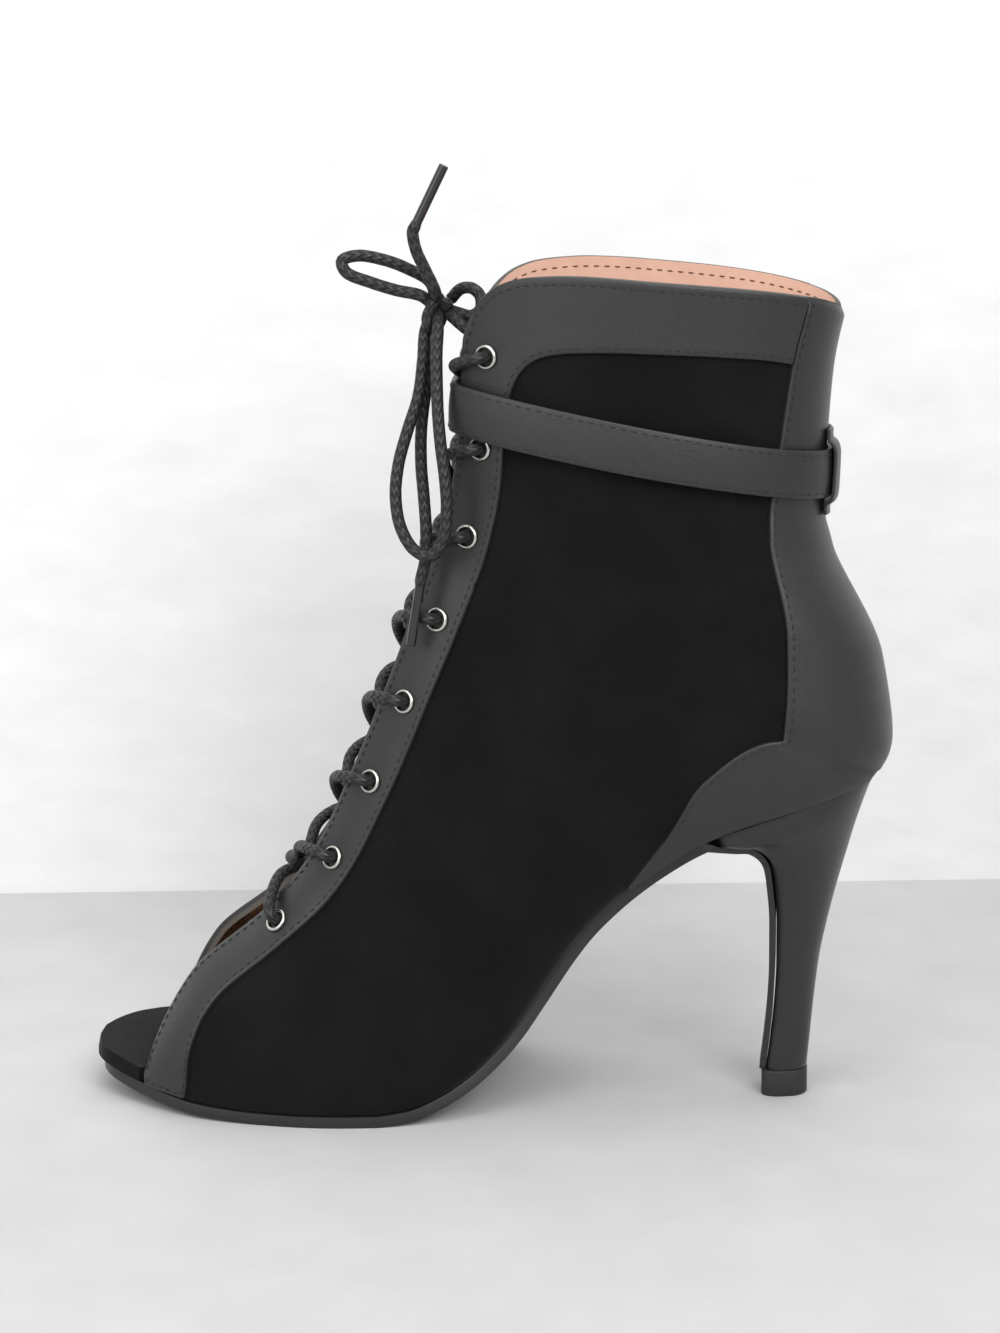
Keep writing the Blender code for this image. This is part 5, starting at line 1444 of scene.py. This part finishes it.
def rounded(ring, times=2):
    """A closed ring with its corners cut off evenly."""
    for _ in range(times):
        after = np.roll(ring, -1, axis=0)
        ring = np.stack([0.75 * ring + 0.25 * after, 0.25 * ring + 0.75 * after], axis=1).reshape(-1, ring.shape[1])
    return ring


def loft(name, rings):
    """A closed solid through rings of equal counts, capped at both ends."""
    count = len(rings[0])
    points = [point for ring in rings for point in ring]
    faces = []
    for r in range(len(rings) - 1):
        for c in range(count):
            d = (c + 1) % count
            faces.append((r * count + c, r * count + d, (r + 1) * count + d, (r + 1) * count + c))
    faces.append(tuple(range(count)))
    faces.append(tuple(len(points) - 1 - c for c in range(count)))
    return mesh_piece(name, points, faces)


def heel_rings():
    face, through = flap_line()
    back_x = finer("back_x", HEEL_RINGS) * LENGTH
    back_z = finer("back_z", HEEL_RINGS) * SEAT_HEIGHT
    half = finer("half", HEEL_RINGS) * BALL_WIDTH
    flat = finer("flat", HEEL_RINGS)
    rings = []
    for i in range(HEEL_RINGS):
        start = face[i] + (FLAP_THICKNESS + CLEARANCE) * through[i]
        end = np.array([back_x[i], back_z[i]])
        shares = heel_shares(half[i], flat[i] * half[i])
        middle = start + (end - start) * shares[:, :1]
        rings.append(rounded(np.stack([middle[:, 0], shares[:, 1], middle[:, 1]], axis=1)))
    return rings


def seat_rings():
    """The heel's top edge, under the seat, and the rings that lead from it into the block."""
    front, back = [x * LENGTH for x in SEAT_ENDS]
    points = []
    for along, across in heel_shares(1.0, 0.9):
        x = front + (back - front) * along
        side = 1 if across >= 0 else -1
        reach = outline[side](x) - SOLE_LEDGE
        if along == 0:
            reach *= abs(across)
        points.append((x, side * reach if abs(across) > 0 else 0.0, sole_top(x) - CLEARANCE))
    return rounded(np.array(points))


def make_heel():
    rings = heel_rings()
    top = seat_rings()
    between = [top * (1 - t) + rings[0] * t for t in (0.0, 0.25, 0.5, 0.75)]
    piece = loft("heel_block", [*between, *rings])
    modify(piece, "BEVEL", width=0.0003, segments=2, limit_method="ANGLE", angle_limit=math.radians(60))
    smooth(piece, 45)
    finish_piece(piece, HEEL_LEATHER, ["heel"])
    tip = rings[-1]
    centre = tip.mean(axis=0)
    lower = []
    for height in (HEEL["flap_z"][-1] * SEAT_HEIGHT - CLEARANCE / 2, 0.0):
        ring = centre + (tip - centre) * np.array([1 + 0.0003 / 0.006, 1 + 0.0003 / 0.0063, 0])
        ring[:, 0] = np.where(ring[:, 0] > centre[0], ring[:, 0] + 0.6 * FLAP_THICKNESS, ring[:, 0])
        ring[:, 2] = height
        lower.append(ring)
    lift = loft("top_lift_tip", lower)
    modify(lift, "BEVEL", width=0.0004, segments=3, limit_method="ANGLE", angle_limit=math.radians(60))
    smooth(lift, 45)
    finish_piece(lift, RUBBER, ["top_lift"])


def make_linings():
    """The stitch rows that show inside: brown along the collar, dark along the toe's lining."""
    for side in (1, -1):
        ways = np.linspace(0.03, 0.97, 160)
        edge = collar_row[side](ways)
        run = np.linalg.norm(skin(edge, ways, side) - skin(edge - 0.5, ways, side), axis=1)
        rows = edge - 0.5 * 0.0028 / run
        line = over_skin(rows, ways, side, -UPPER_WALL)
        inward = -skin_normal(rows, ways, side)
        stitches(f"collar_{SIDE_NAMES[side]}_lining_stitches", line, inward, 0.003, BROWN_THREAD)
        rows = np.linspace(0.2, 5.0, 90)
        ways = np.array([way_from_edge(row, side, 0.0022) for row in rows])
        line = over_skin(rows, ways, side, -UPPER_WALL)
        inward = -skin_normal(rows, ways, side)
        stitches(f"throat_{SIDE_NAMES[side]}_lining_stitches", line, inward, 0.0027, THREAD)


def make_studio():
    """A pale floor and wall, soft lights and the camera."""
    floor = paint_plain("pale_floor", (0.55, 0.545, 0.54), 0.85, 0.0)
    wall_paint = paint_plain("pale_wall", (0.86, 0.86, 0.85), 0.9, 0.0)
    bpy.ops.object.select_all(action="DESELECT")
    bpy.ops.mesh.primitive_plane_add(size=1)
    ground = bpy.context.object
    ground.name = "floor"
    ground.scale = (8, 8, 1)
    ground.data.materials.append(floor)
    bpy.ops.mesh.primitive_plane_add(size=1)
    wall = bpy.context.object
    wall.name = "wall"
    wall.scale = (8, 4, 1)
    wall.rotation_euler = (math.radians(90), 0, math.radians(WALL_TURN))
    wall.location = (*WALL_PLACE, 1.9999)
    wall.data.materials.append(wall_paint)
    target = Vector((-0.04, 0.0, 0.11))
    for name, place, size, energy in LIGHTS:
        lamp = bpy.data.lights.new(name, "AREA")
        lamp.shape = "RECTANGLE"
        lamp.size, lamp.size_y = size
        lamp.energy = energy
        lit = bpy.data.objects.new(name, lamp)
        bpy.context.scene.collection.objects.link(lit)
        lit.location = place
        lit.rotation_euler = (target - Vector(place)).to_track_quat("-Z", "Y").to_euler()
    world = bpy.data.worlds.new("studio")
    world.use_nodes = True
    background = world.node_tree.nodes["Background"]
    background.inputs["Color"].default_value = (0.93, 0.96, 1.0, 1)
    background.inputs["Strength"].default_value = 0.55
    bpy.context.scene.world = world
    bpy.context.scene.view_settings.view_transform = "Standard"
    yaw, pitch, roll = [math.radians(angle) for angle in CAMERA_TURN]
    ahead = Vector((math.sin(yaw) * math.cos(pitch), -math.cos(yaw) * math.cos(pitch), -math.sin(pitch)))
    level = Vector((-math.cos(yaw), -math.sin(yaw), 0))
    up = level.cross(ahead)
    right = level * math.cos(roll) - up * math.sin(roll)
    up = right.cross(ahead)
    lens = bpy.data.cameras.new("camera")
    lens.sensor_fit = "VERTICAL"
    lens.sensor_height = 36
    lens.lens = 36 * CAMERA_FOCUS / 1333
    lens.clip_start = 0.05
    camera = bpy.data.objects.new("camera", lens)
    camera.matrix_world = Matrix.Translation(CAMERA_PLACE) @ Matrix((right, up, -ahead)).transposed().to_4x4()
    bpy.context.scene.collection.objects.link(camera)
    bpy.context.scene.camera = camera


def main():
    make_upper()
    make_facings()
    make_counter()
    make_strap()
    make_keeper()
    make_eyelets()
    make_lacing()
    make_bow()
    make_tongue()
    make_outsole()
    make_insole()
    make_heel()
    make_linings()
    make_studio()


main()
